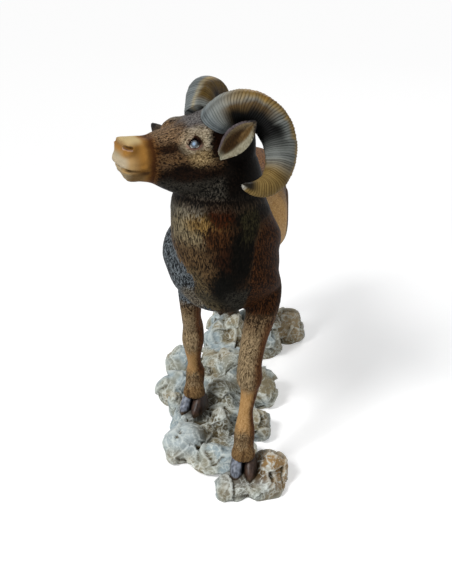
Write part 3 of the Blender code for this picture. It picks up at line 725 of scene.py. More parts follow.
skinTree = treeOf(skin)
dice = np.random.default_rng(12)
height, tone, owner = np.zeros(len(skin)), np.full(len(skin), 0.5), np.arange(len(skin))
for name in ("trunk", "shoulder", "legs", "head", "mane"):
    roots = pickRoots(skin, regions[name], strands[name]["spacing"], dice)
    layStrands(skinTree, skin, normals, flow, roots, strands[name], dice, height, tone, owner)
    print("strands on", name, len(roots))
reach = np.full(len(skin), strands["trunk"]["rise"])
for name in ("shoulder", "legs", "head", "mane"):
    reach[regions[name]] = strands[name]["rise"]
tip = np.clip(height / reach, 0, 1)
height *= 1 - 0.65 * shank
lift = (height - reach * 0.6 * (1 - 0.65 * shank)) * bare + mane * 0.00035
lift[(bare < 0.05) | (height == 0)] = 0
lift = rubbed(lift, skinEdges, 1)[:, 0]
lift = np.where((bare < 0.05), 0, lift)
coat = skin + normals * lift[:, None]
coat = np.clip(coat, np.array(cadLow), np.array(cadHigh))
print("fur laid")


# Painting the coat: an undercoat in the recesses and a lighter brush colour on the strand tips

def within(points, centre, reach, soft=0.35):
    away = np.linalg.norm((points - np.array(centre, float)) / reach, axis=1)
    return smoothStep(1 + soft, 1 - soft, away)


def besideLine(points, line, radius, soft=0.5):
    return smoothStep(radius * (1 + soft), radius * (1 - soft), lineDistance(points, line))


def washOver(paint, mask, recess, tips):
    # one more coat where mask is 1: the recess colour below, the brush colour on the tips
    mask = np.asarray(mask, float)[:, None]
    for layer, colour in zip(paint, (recess, tips)):
        layer[:] = layer * (1 - mask) + tint(*colour) * mask


def startPaint(count, recess, tips):
    return np.tile(tint(*recess), (count, 1)), np.tile(tint(*tips), (count, 1))


def washInTurn(paint, where, washes):
    # one coat after the other: mask, recess colour and tip colour
    for mask, recess, tips in washes:
        washOver(paint, where * mask, recess, tips)


def dabInTurn(paint, where, points, dabs):
    # one dab after the other: centre, reach, softness, recess colour and tip colour
    for centre, reach, soft, recess, tips in dabs:
        washOver(paint, where * within(points, centre, reach, soft), recess, tips)


furPaint = startPaint(len(skin), (40, 24, 14), (104, 78, 52))
ragged = wander(skin, 0.007, 2)
coatPlace = skin / mm + ragged[:, None] * 1.6
facePlace = local + ragged[:, None] * 0.8 + frayed[:, None] * 0.5
saddlePlace = coatPlace + ragged[:, None] * 2.5 + frayed[:, None] * 2.0
x, y, z = coatPlace.T
flank = (1 - onTheHead) * (1 - onLegs) * (1 - mane)
shoulders = flank * smoothStep(-36, -42, y)

# Trunk: pale belly, dark thighs, pale rump and reddish back, then the saddle and the shoulders
washInTurn(furPaint, flank, [
    (smoothStep(102, 94, z), (112, 92, 66), (172, 154, 124)),
    (smoothStep(62, 72, y) * smoothStep(138, 128, z), (28, 15, 8), (76, 54, 38)),
    (smoothStep(86, 92, y) * (np.abs(x) < 14), (150, 132, 104), (196, 184, 158)),
    (smoothStep(30, 45, y) * smoothStep(130, 138, z), (60, 34, 14), (128, 88, 50)),
])
for side in (-1, 1):
    dabInTurn(furPaint, flank * (x * side > 5), saddlePlace, [
        ((side * 27, -14, 124), (16, 38, 18), 0.5, (150, 110, 56), (186, 148, 88))])
washInTurn(furPaint, shoulders, [
    # the dark brown on the +X side of the chest is partly painted shade, away from the key lamp
    (smoothStep(0, 5, x), (20, 9, 4), (76, 46, 24)),
    (smoothStep(2, -3, x), (10, 12, 14), (110, 117, 121)),
    (within(coatPlace, (-13, -58, 100), (7, 12, 7)), (42, 36, 28), (124, 116, 100)),
])

# Neck and mane: black throat, tan and rust breast, dark stripe down to the left leg; the near black under the head
# and on the +X side is partly the coat's dark paint and partly painted shade
washInTurn(furPaint, mane, [
    (1, (11, 6, 3), (56, 38, 23)),
    # near black under the jaw: dark paint and painted shade under the head
    (smoothStep(142, 149, z), (2, 2, 1), (13, 10, 6)),
    (smoothStep(138, 147, z) * smoothStep(-2, -10, x), (10, 10, 9), (118, 114, 102)),
])
dabInTurn(furPaint, mane, coatPlace, [
    ((-15, -66, 141), (13, 16, 8.5), 0.5, (30, 25, 17), (130, 117, 90)),
    ((-5, -71, 145), (9, 14, 4.5), 0.5, (40, 28, 12), (122, 96, 54)),
    ((3.5, -72, 151), (6, 12, 6), 0.35, (12, 5, 2), (54, 24, 8)),
    ((1, -72, 139), (7, 12, 6), 0.35, (16, 8, 4), (66, 40, 20)),
    ((-12, -66, 124), (13, 16, 11), 0.5, (18, 11, 6), (92, 72, 48)),
    ((-12, -64, 112), (8, 14, 9), 0.35, (22, 17, 10), (94, 80, 56)),
    ((-5, -62, 101), (10, 14, 8), 0.35, (16, 13, 8), (76, 68, 50)),
    # these dark dabs on the +X side, away from the key lamp, are partly painted shade
    ((7, -70, 127), (7, 14, 10), 0.35, (9, 4, 2), (40, 21, 10)),
    ((13, -68, 130), (6, 16, 16), 0.35, (2, 2, 1), (12, 9, 6)),
    ((5, -66, 112), (8, 16, 12), 0.35, (2, 2, 1), (10, 9, 6)),
    ((14, -64, 102), (11, 16, 10), 0.35, (5, 4, 3), (52, 50, 44)),
    ((15.5, -64, 146), (3.2, 12, 10), 0.35, (7, 6, 3), (46, 42, 26)),
])
washInTurn(furPaint, mane, [(smoothStep(-34, -26, y), (20, 12, 7), (74, 54, 36))])

# Head: dark brown with grey tips, pale round the eye
ahead, _, above = facePlace.T
jaw = smoothStep(42, 38, ahead)
washInTurn(furPaint, onTheHead, [
    (1, (18, 10, 6), (112, 86, 60)),
    (smoothStep(5, 8, above) * smoothStep(25, 29, ahead), (22, 12, 7), (146, 118, 88)),
    (smoothStep(10.5, 13.5, above), (12, 9, 8), (128, 124, 122)),
    (smoothStep(-3, -7, above) * jaw, (4, 2, 1), (32, 20, 12)),
    (smoothStep(-8, -13, above) * jaw, (4, 4, 3), (64, 60, 53)),
    (smoothStep(11, 7, ahead), (3, 2, 1), (18, 12, 8)),
])
for side in (-1, 1):
    sided = facePlace * (1, side, 1)
    tearLine = besideLine(sided, [(42, 9, 3.2), (34, 10, 4), (28, 12, 4.5)], 2.0)
    cheekLine = besideLine(sided, [(38, 10, -0.6), (31, 12, -1.2), (24, 14, -1)], 1.1)
    washInTurn(furPaint, onTheHead, [
        (tearLine, (12, 6, 3), (44, 27, 15)), (cheekLine, (34, 21, 11), (112, 86, 56))])
    dabInTurn(furPaint, onTheHead, sided, [
        ((26, 11, -7.0), (10, 5, 4.0), 0.35, (5, 3, 2), (32, 19, 11)),
        ((20.5, 14, 6.6), (7.6, 6, 6.0), 0.5, (100, 85, 64), (220, 206, 176)),
        ((19.5, 14, -0.4), (6.0, 6, 3.4), 0.5, (62, 46, 26), (176, 152, 110)),
        ((11.2, 13, 4.6), (5.0, 7, 8.0), 0.35, (6, 3, 1), (34, 17, 8)),
    ])
washInTurn(furPaint, onTheHead, [
    (smoothStep(36.8, 41.6, ahead), (66, 38, 16), (118, 80, 42)),
    (smoothStep(40.4, 45.0, ahead), (138, 98, 46), (160, 120, 66)),
])

# Muzzle: cream on top, pale lips, a shadow under the lower lip
ahead, _, above = local.T
lipBand = smoothStep(50.5, 53.5, ahead) * smoothStep(2.5, 0, above) * smoothStep(-4.0, -3.0, above)
underLip = (smoothStep(49, 44, ahead) * smoothStep(41, 43, ahead)
            * smoothStep(-5.2, -6.0, above) * smoothStep(-8.5, -6.5, above))
chin = smoothStep(-5.4, -6.6, above)
washInTurn(furPaint, onTheHead, [
    (smoothStep(45, 51, ahead) * smoothStep(4, -1, above), (160, 130, 86), (182, 156, 112)),
    (smoothStep(43, 46, ahead) * smoothStep(5.5, 8, above), (178, 156, 112), (198, 178, 134)),
    (smoothStep(53.0, 55.0, ahead), (140, 130, 106), (174, 164, 140)),
    (lipBand, (160, 146, 122), (178, 167, 146)),
    (smoothStep(42, 45, ahead) * chin, (104, 80, 48), (136, 112, 74)),
    (smoothStep(49, 53, ahead) * chin, (132, 118, 92), (156, 144, 120)),
    (underLip, (66, 44, 22), (92, 66, 36)),
])
nostril = face["nostril"]
# painted shade in the fold above each nostril
alarFoldShade = [(place[0], place[1], place[2] + 1.3) for place in nostril[2:]]
underNostril = [(place[0], place[1], place[2] - 1.0) for place in nostril]
for side in (-1, 1):
    sided = local * (1, side, 1)
    # painted shade on the front of the nose
    noseFrontShade = within(sided, (54.6, 4.0, 7.2), (2.6, 4.6, 2.6), 0.6) * 0.8
    washInTurn(furPaint, onTheHead, [
        (besideLine(sided, face["mouth"], 0.70, 0.6), (44, 27, 14), (44, 27, 14)),
        (besideLine(sided, alarFoldShade, 0.9), (92, 76, 54), (92, 76, 54)),
        (noseFrontShade, (104, 78, 46), (120, 92, 58)),
        (besideLine(sided, underNostril, 0.5), (172, 138, 116), (172, 138, 116)),
        (besideLine(sided, nostril, 0.85, 0.4), (30, 16, 18), (30, 16, 18)),
    ])

# Lids: dark above, pink below, a black line round the opening
lid = smoothStep(1.75, 1.45, lidRing)
overEye = above - face["eyeUp"]
washInTurn(furPaint, 1, [
    (lid * smoothStep(-0.6, 0.6, overEye), (40, 20, 10), (66, 38, 22)),
    (lid * smoothStep(0.6, -0.6, overEye), (128, 98, 84), (150, 122, 106)),
    (smoothStep(1.34, 1.10, lidRing) * smoothStep(-1.2, 0.2, overEye), (20, 8, 5), (20, 8, 5)),
    (smoothStep(1.16, 1.00, lidRing), (16, 8, 6), (16, 8, 6)),
])

# Legs: grey-tan forearms with dark backs, smooth orange shanks, darker fetlocks
foreside = smoothStep(0.35, -0.45, normals[:, 1] - 0.25 * frayed)
washInTurn(furPaint, 1, [
    (onLegs, (20, 11, 6), (86, 62, 38)),
    (onLegs * foreside, (50, 37, 23), (158, 137, 105)),
    (onLegs * smoothStep(77, 92, z) * (y < 0), (12, 7, 4), (90, 66, 43)),
    (shank, (86, 60, 32), (128, 94, 56)),
    (shank * foreside, (138, 104, 62), (172, 138, 94)),
    (onLegs * smoothStep(0.25, 0.85, normals[:, 0]), (44, 22, 10), (104, 66, 36)),
])
for _, joints, toe, _, ground in legs:
    level = skin[:, 2] - ground - leg["hoofHeight"] + frayed * 0.0015
    groove = np.exp(-((skin[:, 0] - toe.x) / 0.0009) ** 2) * smoothStep(0.0080, 0.0045, level) * foreside
    ring = np.exp(-((level - 0.0105) / 0.0016) ** 2)
    washInTurn(furPaint, besideLeg(joints), [
        (smoothStep(0.0085, 0.0060, level) * foreside, (62, 44, 26), (136, 108, 72)),
        (smoothStep(0.0016, -0.0006, level), (40, 27, 17), (118, 94, 66)),
        (groove * 0.8, (30, 18, 10), (78, 56, 34)),
        (ring * 0.8, (30, 19, 11), (96, 72, 46)),
    ])

# A strand keeps the colour of the place it grows from
under, brush = furPaint[0], furPaint[1][owner]
cavity = hollowness(coat, skinFaces, skinEdges, 12, 0.0006)
print("coat painted")


# Cutting the skin into pieces that meet without a gap

def openRim(faces):
    # the edges with a face on one side only, and the loops that they make
    half = np.concatenate([faces[:, [0, 1]], faces[:, [1, 2]], faces[:, [2, 0]]])
    forward = set(map(tuple, half.tolist()))
    rimEdges = [(a, b) for a, b in forward if (b, a) not in forward]
    following = dict(rimEdges)
    todo = set(following)
    loops = []
    while todo:
        loop = [todo.pop()]
        while following[loop[-1]] in todo:
            loop.append(following[loop[-1]])
            todo.discard(loop[-1])
        loops.append(loop)
    return rimEdges, loops


def closeBehind(points, faces, inward, depth):
    # the open rim folds inwards and is filled, so that the piece is a closed solid
    rimEdges, loops = openRim(faces)
    count = len(points)
    deeper, extra, added = {}, [], []
    for a, _ in rimEdges:
        deeper[a] = count + len(extra)
        extra.append(points[a] - inward[a] * depth)
    for a, b in rimEdges:
        added += [(b, a, deeper[a]), (b, deeper[a], deeper[b])]
    for loop in loops:
        heart = count + len(extra)
        extra.append(np.mean([extra[deeper[a] - count] for a in loop], axis=0))
        for a, b in zip(loop, loop[1:] + loop[:1]):
            added.append((deeper[b], deeper[a], heart))
    return np.vstack([points, extra]), np.vstack([faces, added])


faceMiddles = skin[skinFaces].mean(axis=1)
x, y, z = faceMiddles.T
ahead, _, above = (headSpace(faceMiddles) / mm).T
isHead = above > -21.2 + (28.5 - ahead) * 0.575
isLeg = (z < 0.0835) & ~isHead
isNeck = (y < -0.026 + (z - 0.122) * 0.2) & ~isHead & ~isLeg
isRump = (y > 0.024) & ~isHead & ~isLeg & ~isNeck
cuts = {
    "head": isHead, "neck_mane": isNeck, "rump": isRump, "trunk": ~(isHead | isLeg | isNeck | isRump),
    "leg_fore_left": isLeg & (y < 0.02) & (x > 0), "leg_fore_right": isLeg & (y < 0.02) & (x <= 0),
    "leg_hind_left": isLeg & (y >= 0.02) & (x > 0), "leg_hind_right": isLeg & (y >= 0.02) & (x <= 0),
}
coatNormals = pointNormals(coat, skinFaces)
coatLayers = {"tip": tip, "tone": tone, "under": under, "brush": brush, "cavity": cavity}
furPieces = []
for name, mask in cuts.items():
    used, packed = np.unique(skinFaces[mask], return_inverse=True)
    packed = packed.reshape(-1, 3)
    points, faces = closeBehind(coat[used], packed, coatNormals[used], 0.0012)
    spare = len(points) - len(used)
    layers = {}
    for layer, values in coatLayers.items():
        ends = np.repeat(values[used][:1], spare, axis=0)
        layers[layer] = np.concatenate([values[used], ends])
    shading = np.concatenate([coatNormals[used], np.zeros((spare, 3))])
    furPieces.append(makePiece(name, points, faces, layers, shading))
    print(name, len(faces), "triangles")


# Horns with real growth rings

horn = {
    "radius": 0.0080, "tipRadius": 0.0015, "tipReach": 0.0030,
    "lift": 0.0054, "rootAhead": 0.0104, "rootSide": 0.0080,
    "start": math.radians(31), "turn": math.radians(275), "bow": math.radians(34),
    "ringPitch": 0.00104, "ringDepth": 0.00030, "rings": 640, "around": 60,
    # size of the coil along the head, upwards and sideways, then how far it swings back and out
    "left": (0.0118, 0.0156, 0.0300, 0, 0), "right": (0.0102, 0.0146, 0.0350, -0.0004, 0.0026),
}


def hornPath(side, coil):
    # centres, sideways and outward directions and radii from root to tip
    coilLength, coilHeight, coilSpread, swingBack, swingOut = coil
    coilAhead = horn["rootAhead"] - coilLength * math.cos(horn["bow"])
    rows = []
    for share in np.linspace(0, 1, horn["rings"]):
        angle = horn["start"] + horn["turn"] * share
        radial = noseward * (coilLength * math.cos(angle)) + upward * (coilHeight * math.sin(angle))
        travel = noseward * (-coilLength * math.sin(angle)) + upward * (coilHeight * math.cos(angle))
        spread = horn["rootSide"] + coilSpread * math.sin(share * math.pi / 2)
        spreadRate = coilSpread * math.cos(share * math.pi / 2) * math.pi / 2 / horn["turn"]
        travel = travel + leftward * (side * spreadRate)
        centre = onHead(coilAhead, side * spread, horn["lift"]) + radial
        centre += (leftward * (side * swingOut) - noseward * swingBack) * float(smoothStep(0, 0.25, share))
        centre += noseward * (horn["tipReach"] * float(smoothStep(0.80, 1.0, share)))
        outward = (radial - travel * (radial.dot(travel) / travel.length_squared)).normalized()
        across = travel.cross(outward).normalized()
        swell = math.sin(min(share / 0.42, 1.0) * math.pi / 2) * 0.10 + 0.90
        taper = math.sqrt(max(1 - max(share - 0.42, 0) / 0.60, 0.0))
        radius = max(horn["radius"] * swell * taper, horn["tipRadius"])
        radius *= 1 - 0.22 * float(smoothStep(0.86, 0.985, share))
        radius *= math.sqrt(max(1 - max(share - 0.975, 0) / 0.0256, 0.0))
        rows.append((*centre, *across, *outward, radius))
    rows = np.array(rows)
    return rows[:, 0:3], rows[:, 3:6], rows[:, 6:9], rows[:, 9]


def paintHorn(side, share, outside, facing, stray):
    # olive grey, browner outside and further round, near black inside the arc, which is partly the horn's dark paint
    # and partly painted shade
    paint = startPaint(len(share), (50, 52, 50), (128, 132, 128))
    outer, inner = outside + stray, outside + 0.6 * stray
    topArc = smoothStep(0.08, 0.18, share) * smoothStep(0.66, 0.46, share)
    rearSide = smoothStep(-0.15, -0.60, facing + stray)
    tipEnd = smoothStep(0.965, 0.990, share)
    washInTurn(paint, 1, [
        (smoothStep(0.35, 0.80, outer) * smoothStep(0.10, 0.26, share), (84, 66, 34), (150, 126, 78)),
        (smoothStep(0.70, 0.98, outer) * smoothStep(0.16, 0.34, share), (96, 68, 26), (158, 122, 58)),
        (rearSide * smoothStep(0.02, 0.08, share), (36, 24, 8), (108, 86, 44)),
        (smoothStep(0.62, 0.76, share), (70, 52, 24), (128, 106, 62)),
        (smoothStep(0.62, 0.30, inner) * topArc * smoothStep(0.46, 0.34, share), (46, 32, 18), (92, 74, 46)),
        # near black inside the arc: dark paint and painted shade
        (smoothStep(0.34, -0.12, inner) * topArc, (2, 2, 2), (7, 7, 6)),
        (smoothStep(0.10, 0.03, share) * smoothStep(-0.3, 0.0, facing), (50, 56, 58), (122, 130, 132)),
    ])
    if side < 0:
        # the right horn shows the photo its grey front and a pale ridge
        ridge = np.exp(-((facing + 0.22 + 0.5 * stray) / 0.12) ** 2) * smoothStep(0.0, 0.3, outside)
        washInTurn(paint, 1, [
            (smoothStep(-0.2, 0.0, facing), (40, 44, 46), (118, 124, 124)),
            (ridge * 0.7, (84, 74, 52), (158, 146, 116)),
        ])
    washInTurn(paint, 1, [
        (smoothStep(0.88, 0.96, share) * smoothStep(0.6, -0.2, outside), (10, 8, 6), (30, 26, 20)),
        (tipEnd * smoothStep(-0.3, 0.4, outside), (84, 82, 76), (150, 148, 140)),
    ])
    return paint


def buildHorn(name, side, coil, seed):
    dice = np.random.default_rng(seed)
    centres, across, outward, radii = hornPath(side, coil)
    travelled = np.concatenate([[0], np.cumsum(np.linalg.norm(np.diff(centres, axis=0), axis=1))])
    angles = np.arange(horn["around"]) * 2 * math.pi / horn["around"]
    along, turn = np.meshgrid(travelled, angles, indexing="ij")
    waver = np.zeros_like(along)
    for _ in range(7):
        waver += dice.uniform(0.1, 0.24) * np.sin(
            dice.integers(1, 5) * turn + along * dice.uniform(200, 1100) + dice.uniform(0, 6.28))
    phase = along / horn["ringPitch"] + waver * 0.55
    ringDepths = dice.uniform(0.45, 1.0, int(phase.max()) + 12)
    ringTones = dice.uniform(0, 1, len(ringDepths))
    number = np.floor(phase + 4).astype(int).clip(0, len(ringDepths) - 1)
    crest = (1 - np.abs(2 * (phase - np.floor(phase)) - 1) ** 2.6)
    scored = 0.5 + 0.5 * np.sin(phase * 2 * math.pi * 3 + 1.2 * waver)
    outside, facing = np.sin(turn), np.cos(turn) * side
    strength = np.clip(0.80 + 0.30 * facing + 0.25 * outside, 0.3, 1.15)
    fade = np.clip(radii / 0.0045, 0.25, 1)[:, None]
    growth = np.sin(along / 0.0068 * 2 * math.pi + waver * 1.2) * 0.00006
    relief = (crest * ringDepths[number] - 0.75) * horn["ringDepth"] * strength * fade + growth * fade
    relief += (scored - 0.5) * 0.00005 * fade
    keel = 0.055 * np.exp(-((turn - math.radians(62 if side > 0 else 52)) / 0.28) ** 2)
    keel = keel + 0.030 * np.exp(-((turn - math.radians(140)) / 0.35) ** 2)
    radius = radii[:, None] * (1 + keel) + relief * np.clip(radii / 0.002, 0, 1)[:, None]
    sideways = np.sign(np.cos(turn)) * np.abs(np.cos(turn)) ** 0.86 * 0.94
    upwards = np.sign(np.sin(turn)) * np.abs(np.sin(turn)) ** 0.86
    surface = (centres[:, None] + across[:, None] * (sideways * radius)[..., None]
               + outward[:, None] * (upwards * radius)[..., None])
    around, rings = horn["around"], horn["rings"]
    points = np.vstack([surface.reshape(-1, 3), centres[:1], centres[-1:]])
    index = np.arange(rings * around).reshape(rings, around)
    one, two = index[:-1], index[1:]
    three, four = np.roll(two, -1, axis=1), np.roll(one, -1, axis=1)
    faces = np.vstack([
        np.stack([one, four, three], axis=-1).reshape(-1, 3), np.stack([one, three, two], axis=-1).reshape(-1, 3),
        np.stack([np.roll(index[0], -1), index[0], np.full(around, rings * around)], axis=-1),
        np.stack([index[-1], np.roll(index[-1], -1), np.full(around, rings * around + 1)], axis=-1)])
    share = (travelled / travelled[-1])[:, None] + 0 * turn
    crest, outside, facing, share, waver, tones = (values.ravel() for values in (
        crest * (0.6 + 0.4 * ringDepths[number]), outside, facing, share, waver, ringTones[number]))
    under, brush = paintHorn(side, share, outside, facing, 0.18 * waver + 0.14 * (tones - 0.5))
    layers = {}
    for key, values in (("tip", crest), ("tone", tones), ("under", under), ("brush", brush)):
        layers[key] = np.concatenate([values, values[:1], values[-1:]])
    edges = edgesOf(faces, len(points))
    layers["cavity"] = hollowness(points, faces, edges, 10, 0.0005)
    points = np.clip(points, np.array(cadLow), np.array(cadHigh))
    print(name, len(faces), "triangles")
    return makePiece(name, points, faces, layers)


horns = [buildHorn("horn_left", 1, horn["left"], 3), buildHorn("horn_right", -1, horn["right"], 8)]


# Ears: curled leaves with a hairy hollow

ear = {"width": 0.0126, "wall": 0.0020, "rootAlong": 0.0106, "rootUp": -0.0040}


def buildEar(name, side, length, direction, seed):
    along = (noseward * direction[0] + leftward * direction[1] + upward * direction[2]).normalized()
    opening = noseward * 0.55 + leftward * (side * 0.75) + upward * 0.15
    opening = (opening - along * opening.dot(along)).normalized()
    across = along.cross(opening)
    root = onHead(ear["rootAlong"], side * head["width"] * 0.36, ear["rootUp"])
    dice = np.random.default_rng(seed)
    rows = finerRows([
        (0.00, 0.24, 70), (0.14, 0.40, 66), (0.32, 0.72, 56), (0.50, 0.97, 47),
        (0.68, 1.00, 40), (0.84, 0.78, 34), (0.95, 0.40, 28), (1.00, 0.12, 24)], 10)
    half = 19
    points, hollow, edgewise, shares = [], [], [], []
    for share, widthShare, curlDegrees in rows:
        curl = math.radians(curlDegrees)
        halfWidth = ear["width"] * widthShare / 2
        bow = halfWidth / math.sin(curl)
        wall = min(ear["wall"], halfWidth * 0.9)
        for isInner in (False, True):
            for k in (range(half - 1, -1, -1) if isInner else range(half)):
                place = 2 * k / (half - 1) - 1
                swing = curl * place
                rimRound = math.sqrt(max(1 - abs(place) ** 6, 0.0))
                radius = bow - wall * (0.5 + (0.5 if isInner else -0.5) * rimRound)
                if isInner:
                    pleat = 0.00012 * math.sin(place * 13 + share * 5 + side)
                    radius += pleat * min(share * 5, 1) * (1 - abs(place) ** 4)
                offset = across * (radius * math.sin(swing)) - opening * (radius * math.cos(swing))
                points.append(root + along * (length * share) + opening * bow + offset)
                hollow.append(1.0 if isInner else 0.0)
                edgewise.append(place)
                shares.append(share)
    count = half * 2
    rings = len(rows)
    faces = []
    for r in range(rings - 1):
        for k in range(count):
            j = (k + 1) % count
            one, two, three, four = r * count + k, r * count + j, (r + 1) * count + j, (r + 1) * count + k
            faces += [(one, three, two), (one, four, three)]
    for base, flip in ((0, True), ((rings - 1) * count, False)):
        for k in range(1, half):
            a, b, c, d = base + k - 1, base + k, base + count - 1 - k, base + count - k
            quads = [(a, b, c), (a, c, d)]
            faces += [q if flip else q[::-1] for q in quads]
    leaf = bpy.data.meshes.new("leaf")
    leaf.from_pydata([tuple(point) for point in points], [], faces)
    mesh = bmesh.new()
    mesh.from_mesh(leaf)
    bmesh.ops.recalc_face_normals(mesh, faces=mesh.faces)
    points, faces = pointsOf(mesh)
    hollow, edgewise, shares = np.array(hollow), np.array(edgewise), np.array(shares)
    edges = edgesOf(faces, len(points))
    normals = pointNormals(points, faces)
    flow = np.tile(np.array(along), (len(points), 1))
    flow -= normals * np.einsum("ij,ij->i", flow, normals)[:, None]
    flow /= np.maximum(np.linalg.norm(flow, axis=1), 1e-9)[:, None]
    height, tone, owner = np.zeros(len(points)), np.full(len(points), 0.5), np.arange(len(points))
    hairy = (hollow < 0.5) & (shares > 0.12)
    roots = pickRoots(points, hairy & (np.abs(edgewise) < 0.9), 0.00095, dice)
    strand = {"width": 0.00095, "length": 0.0034, "rise": 0.00026, "stray": 14}
    layStrands(treeOf(points), points, normals, flow, roots, strand, dice, height, tone, owner)
    tip = np.clip(height / strand["rise"], 0, 1)
    paint = startPaint(len(points), (30, 20, 14), (92, 76, 60))
    place = np.stack([edgewise, shares, 0 * shares], axis=1)
    palePart = smoothStep(0.10, 0.60, edgewise) * smoothStep(0.96, 0.80, shares)
    washInTurn(paint, hollow, [
        (1, (60, 48, 30), (116, 102, 78)),
        (palePart, (92, 86, 66), (146, 141, 122)),
        (within(place, (-0.15, 0.45, 0), (0.55, 0.40, 1)), (20, 11, 5), (60, 42, 20)),
        (within(place, (0.20, 0.80, 0), (0.30, 0.20, 1)), (60, 42, 20), (104, 82, 50)),
    ])
    darkRim = smoothStep(0.80, 0.92, np.abs(edgewise)) * (edgewise < 0) * smoothStep(0.1, 0.25, shares)
    washInTurn(paint, 1, [
        (darkRim, (30, 24, 26), (92, 84, 88)),
        (smoothStep(0.30, 0.12, shares) * hollow, (96, 92, 74), (150, 148, 130)),
        ((1 - hollow) * smoothStep(0.7, 0.9, shares), (14, 12, 13), (44, 42, 42)),
    ])
    under, brush = paint
    coat = points + normals * ((height - strand["rise"] * 0.5) * (height > 0))[:, None]
    layers = {"tip": np.maximum(tip, hollow * 0.5), "tone": tone, "under": under, "brush": brush[owner],
              "cavity": hollowness(coat, faces, edges, 8, 0.0006)}
    return makePiece(name, coat, faces, layers)


ears = [buildEar("ear_left", 1, 0.0318, (-0.300, 0.666, 0.681), 21),
        buildEar("ear_right", -1, 0.0280, (0.586, -0.724, 0.362), 22)]
print("ears built")


# Eyes: varnished balls with painted irises

eye = {"radius": head["eyeRadius"], "irisHalf": 31, "pupilHalf": 17, "rimHalf": 36, "segments": 64}


def buildEye(name, side):
    mesh = bmesh.new()
    bmesh.ops.create_uvsphere(
        mesh, u_segments=eye["segments"], v_segments=eye["segments"] // 2, radius=eye["radius"])
    bmesh.ops.triangulate(mesh, faces=mesh.faces)
    points, faces = pointsOf(mesh)
    gaze = np.array((0.10, side, 0.10))
    gaze /= np.linalg.norm(gaze)
    away = np.degrees(np.arccos(np.clip(points @ gaze / eye["radius"], -1, 1)))
    points = points * (1 + 0.05 * smoothStep(44, 20, away))[:, None] * (1, 0.94, 1)
    ahead, above = points[:, 0] / eye["radius"], points[:, 2] / eye["radius"]
    colour = np.tile(tint(58, 48, 44), (len(points), 1))

    def dab(mask, paint):
        colour[:] = colour * (1 - mask[:, None]) + tint(*paint) * mask[:, None]

    for across, down in ((0.62, 0.34), (-0.46, 0.44)):
        dab(smoothStep(0.40, 0.16, np.hypot(ahead - across, above + down)), (206, 206, 200))
    dab(smoothStep(eye["rimHalf"] + 3, eye["rimHalf"] - 3, away), (22, 28, 34))
    dab(smoothStep(eye["irisHalf"], eye["irisHalf"] - 8, away), (50, 64, 76))
    dab(smoothStep(eye["pupilHalf"] + 6, eye["pupilHalf"] - 4, away), (30, 38, 46))
    # a painted highlight: a pale blue spot on the upper front of the ball, standing in for a reflection
    dab(smoothStep(0.34, 0.06, np.hypot(ahead - 0.22, (above - 0.14) * 0.85)), (136, 166, 196))
    dab(smoothStep(0.42, 0.66, above + 0.30 * np.abs(ahead - 0.1)), (18, 8, 6))
    centre = Vector((face["eyeAlong"] * mm, side * face["eyeSide"] * mm, face["eyeUp"] * mm))
    world = np.array(poll) + (points + np.array(centre)) @ np.array(headTurn).T
    flat = np.full(len(points), 0.5)
    return makePiece(name, world, faces, {"under": colour, "brush": colour, "tip": flat, "tone": flat})


eyes = [buildEye("eye_left", 1), buildEye("eye_right", -1)]
print("eyes built")


# Hooves: two claws each, with a cleft between them

hoof = {"length": leg["hoofLength"], "width": leg["hoofWidth"], "height": leg["hoofHeight"], "splay": 1, "gap": 0.262}


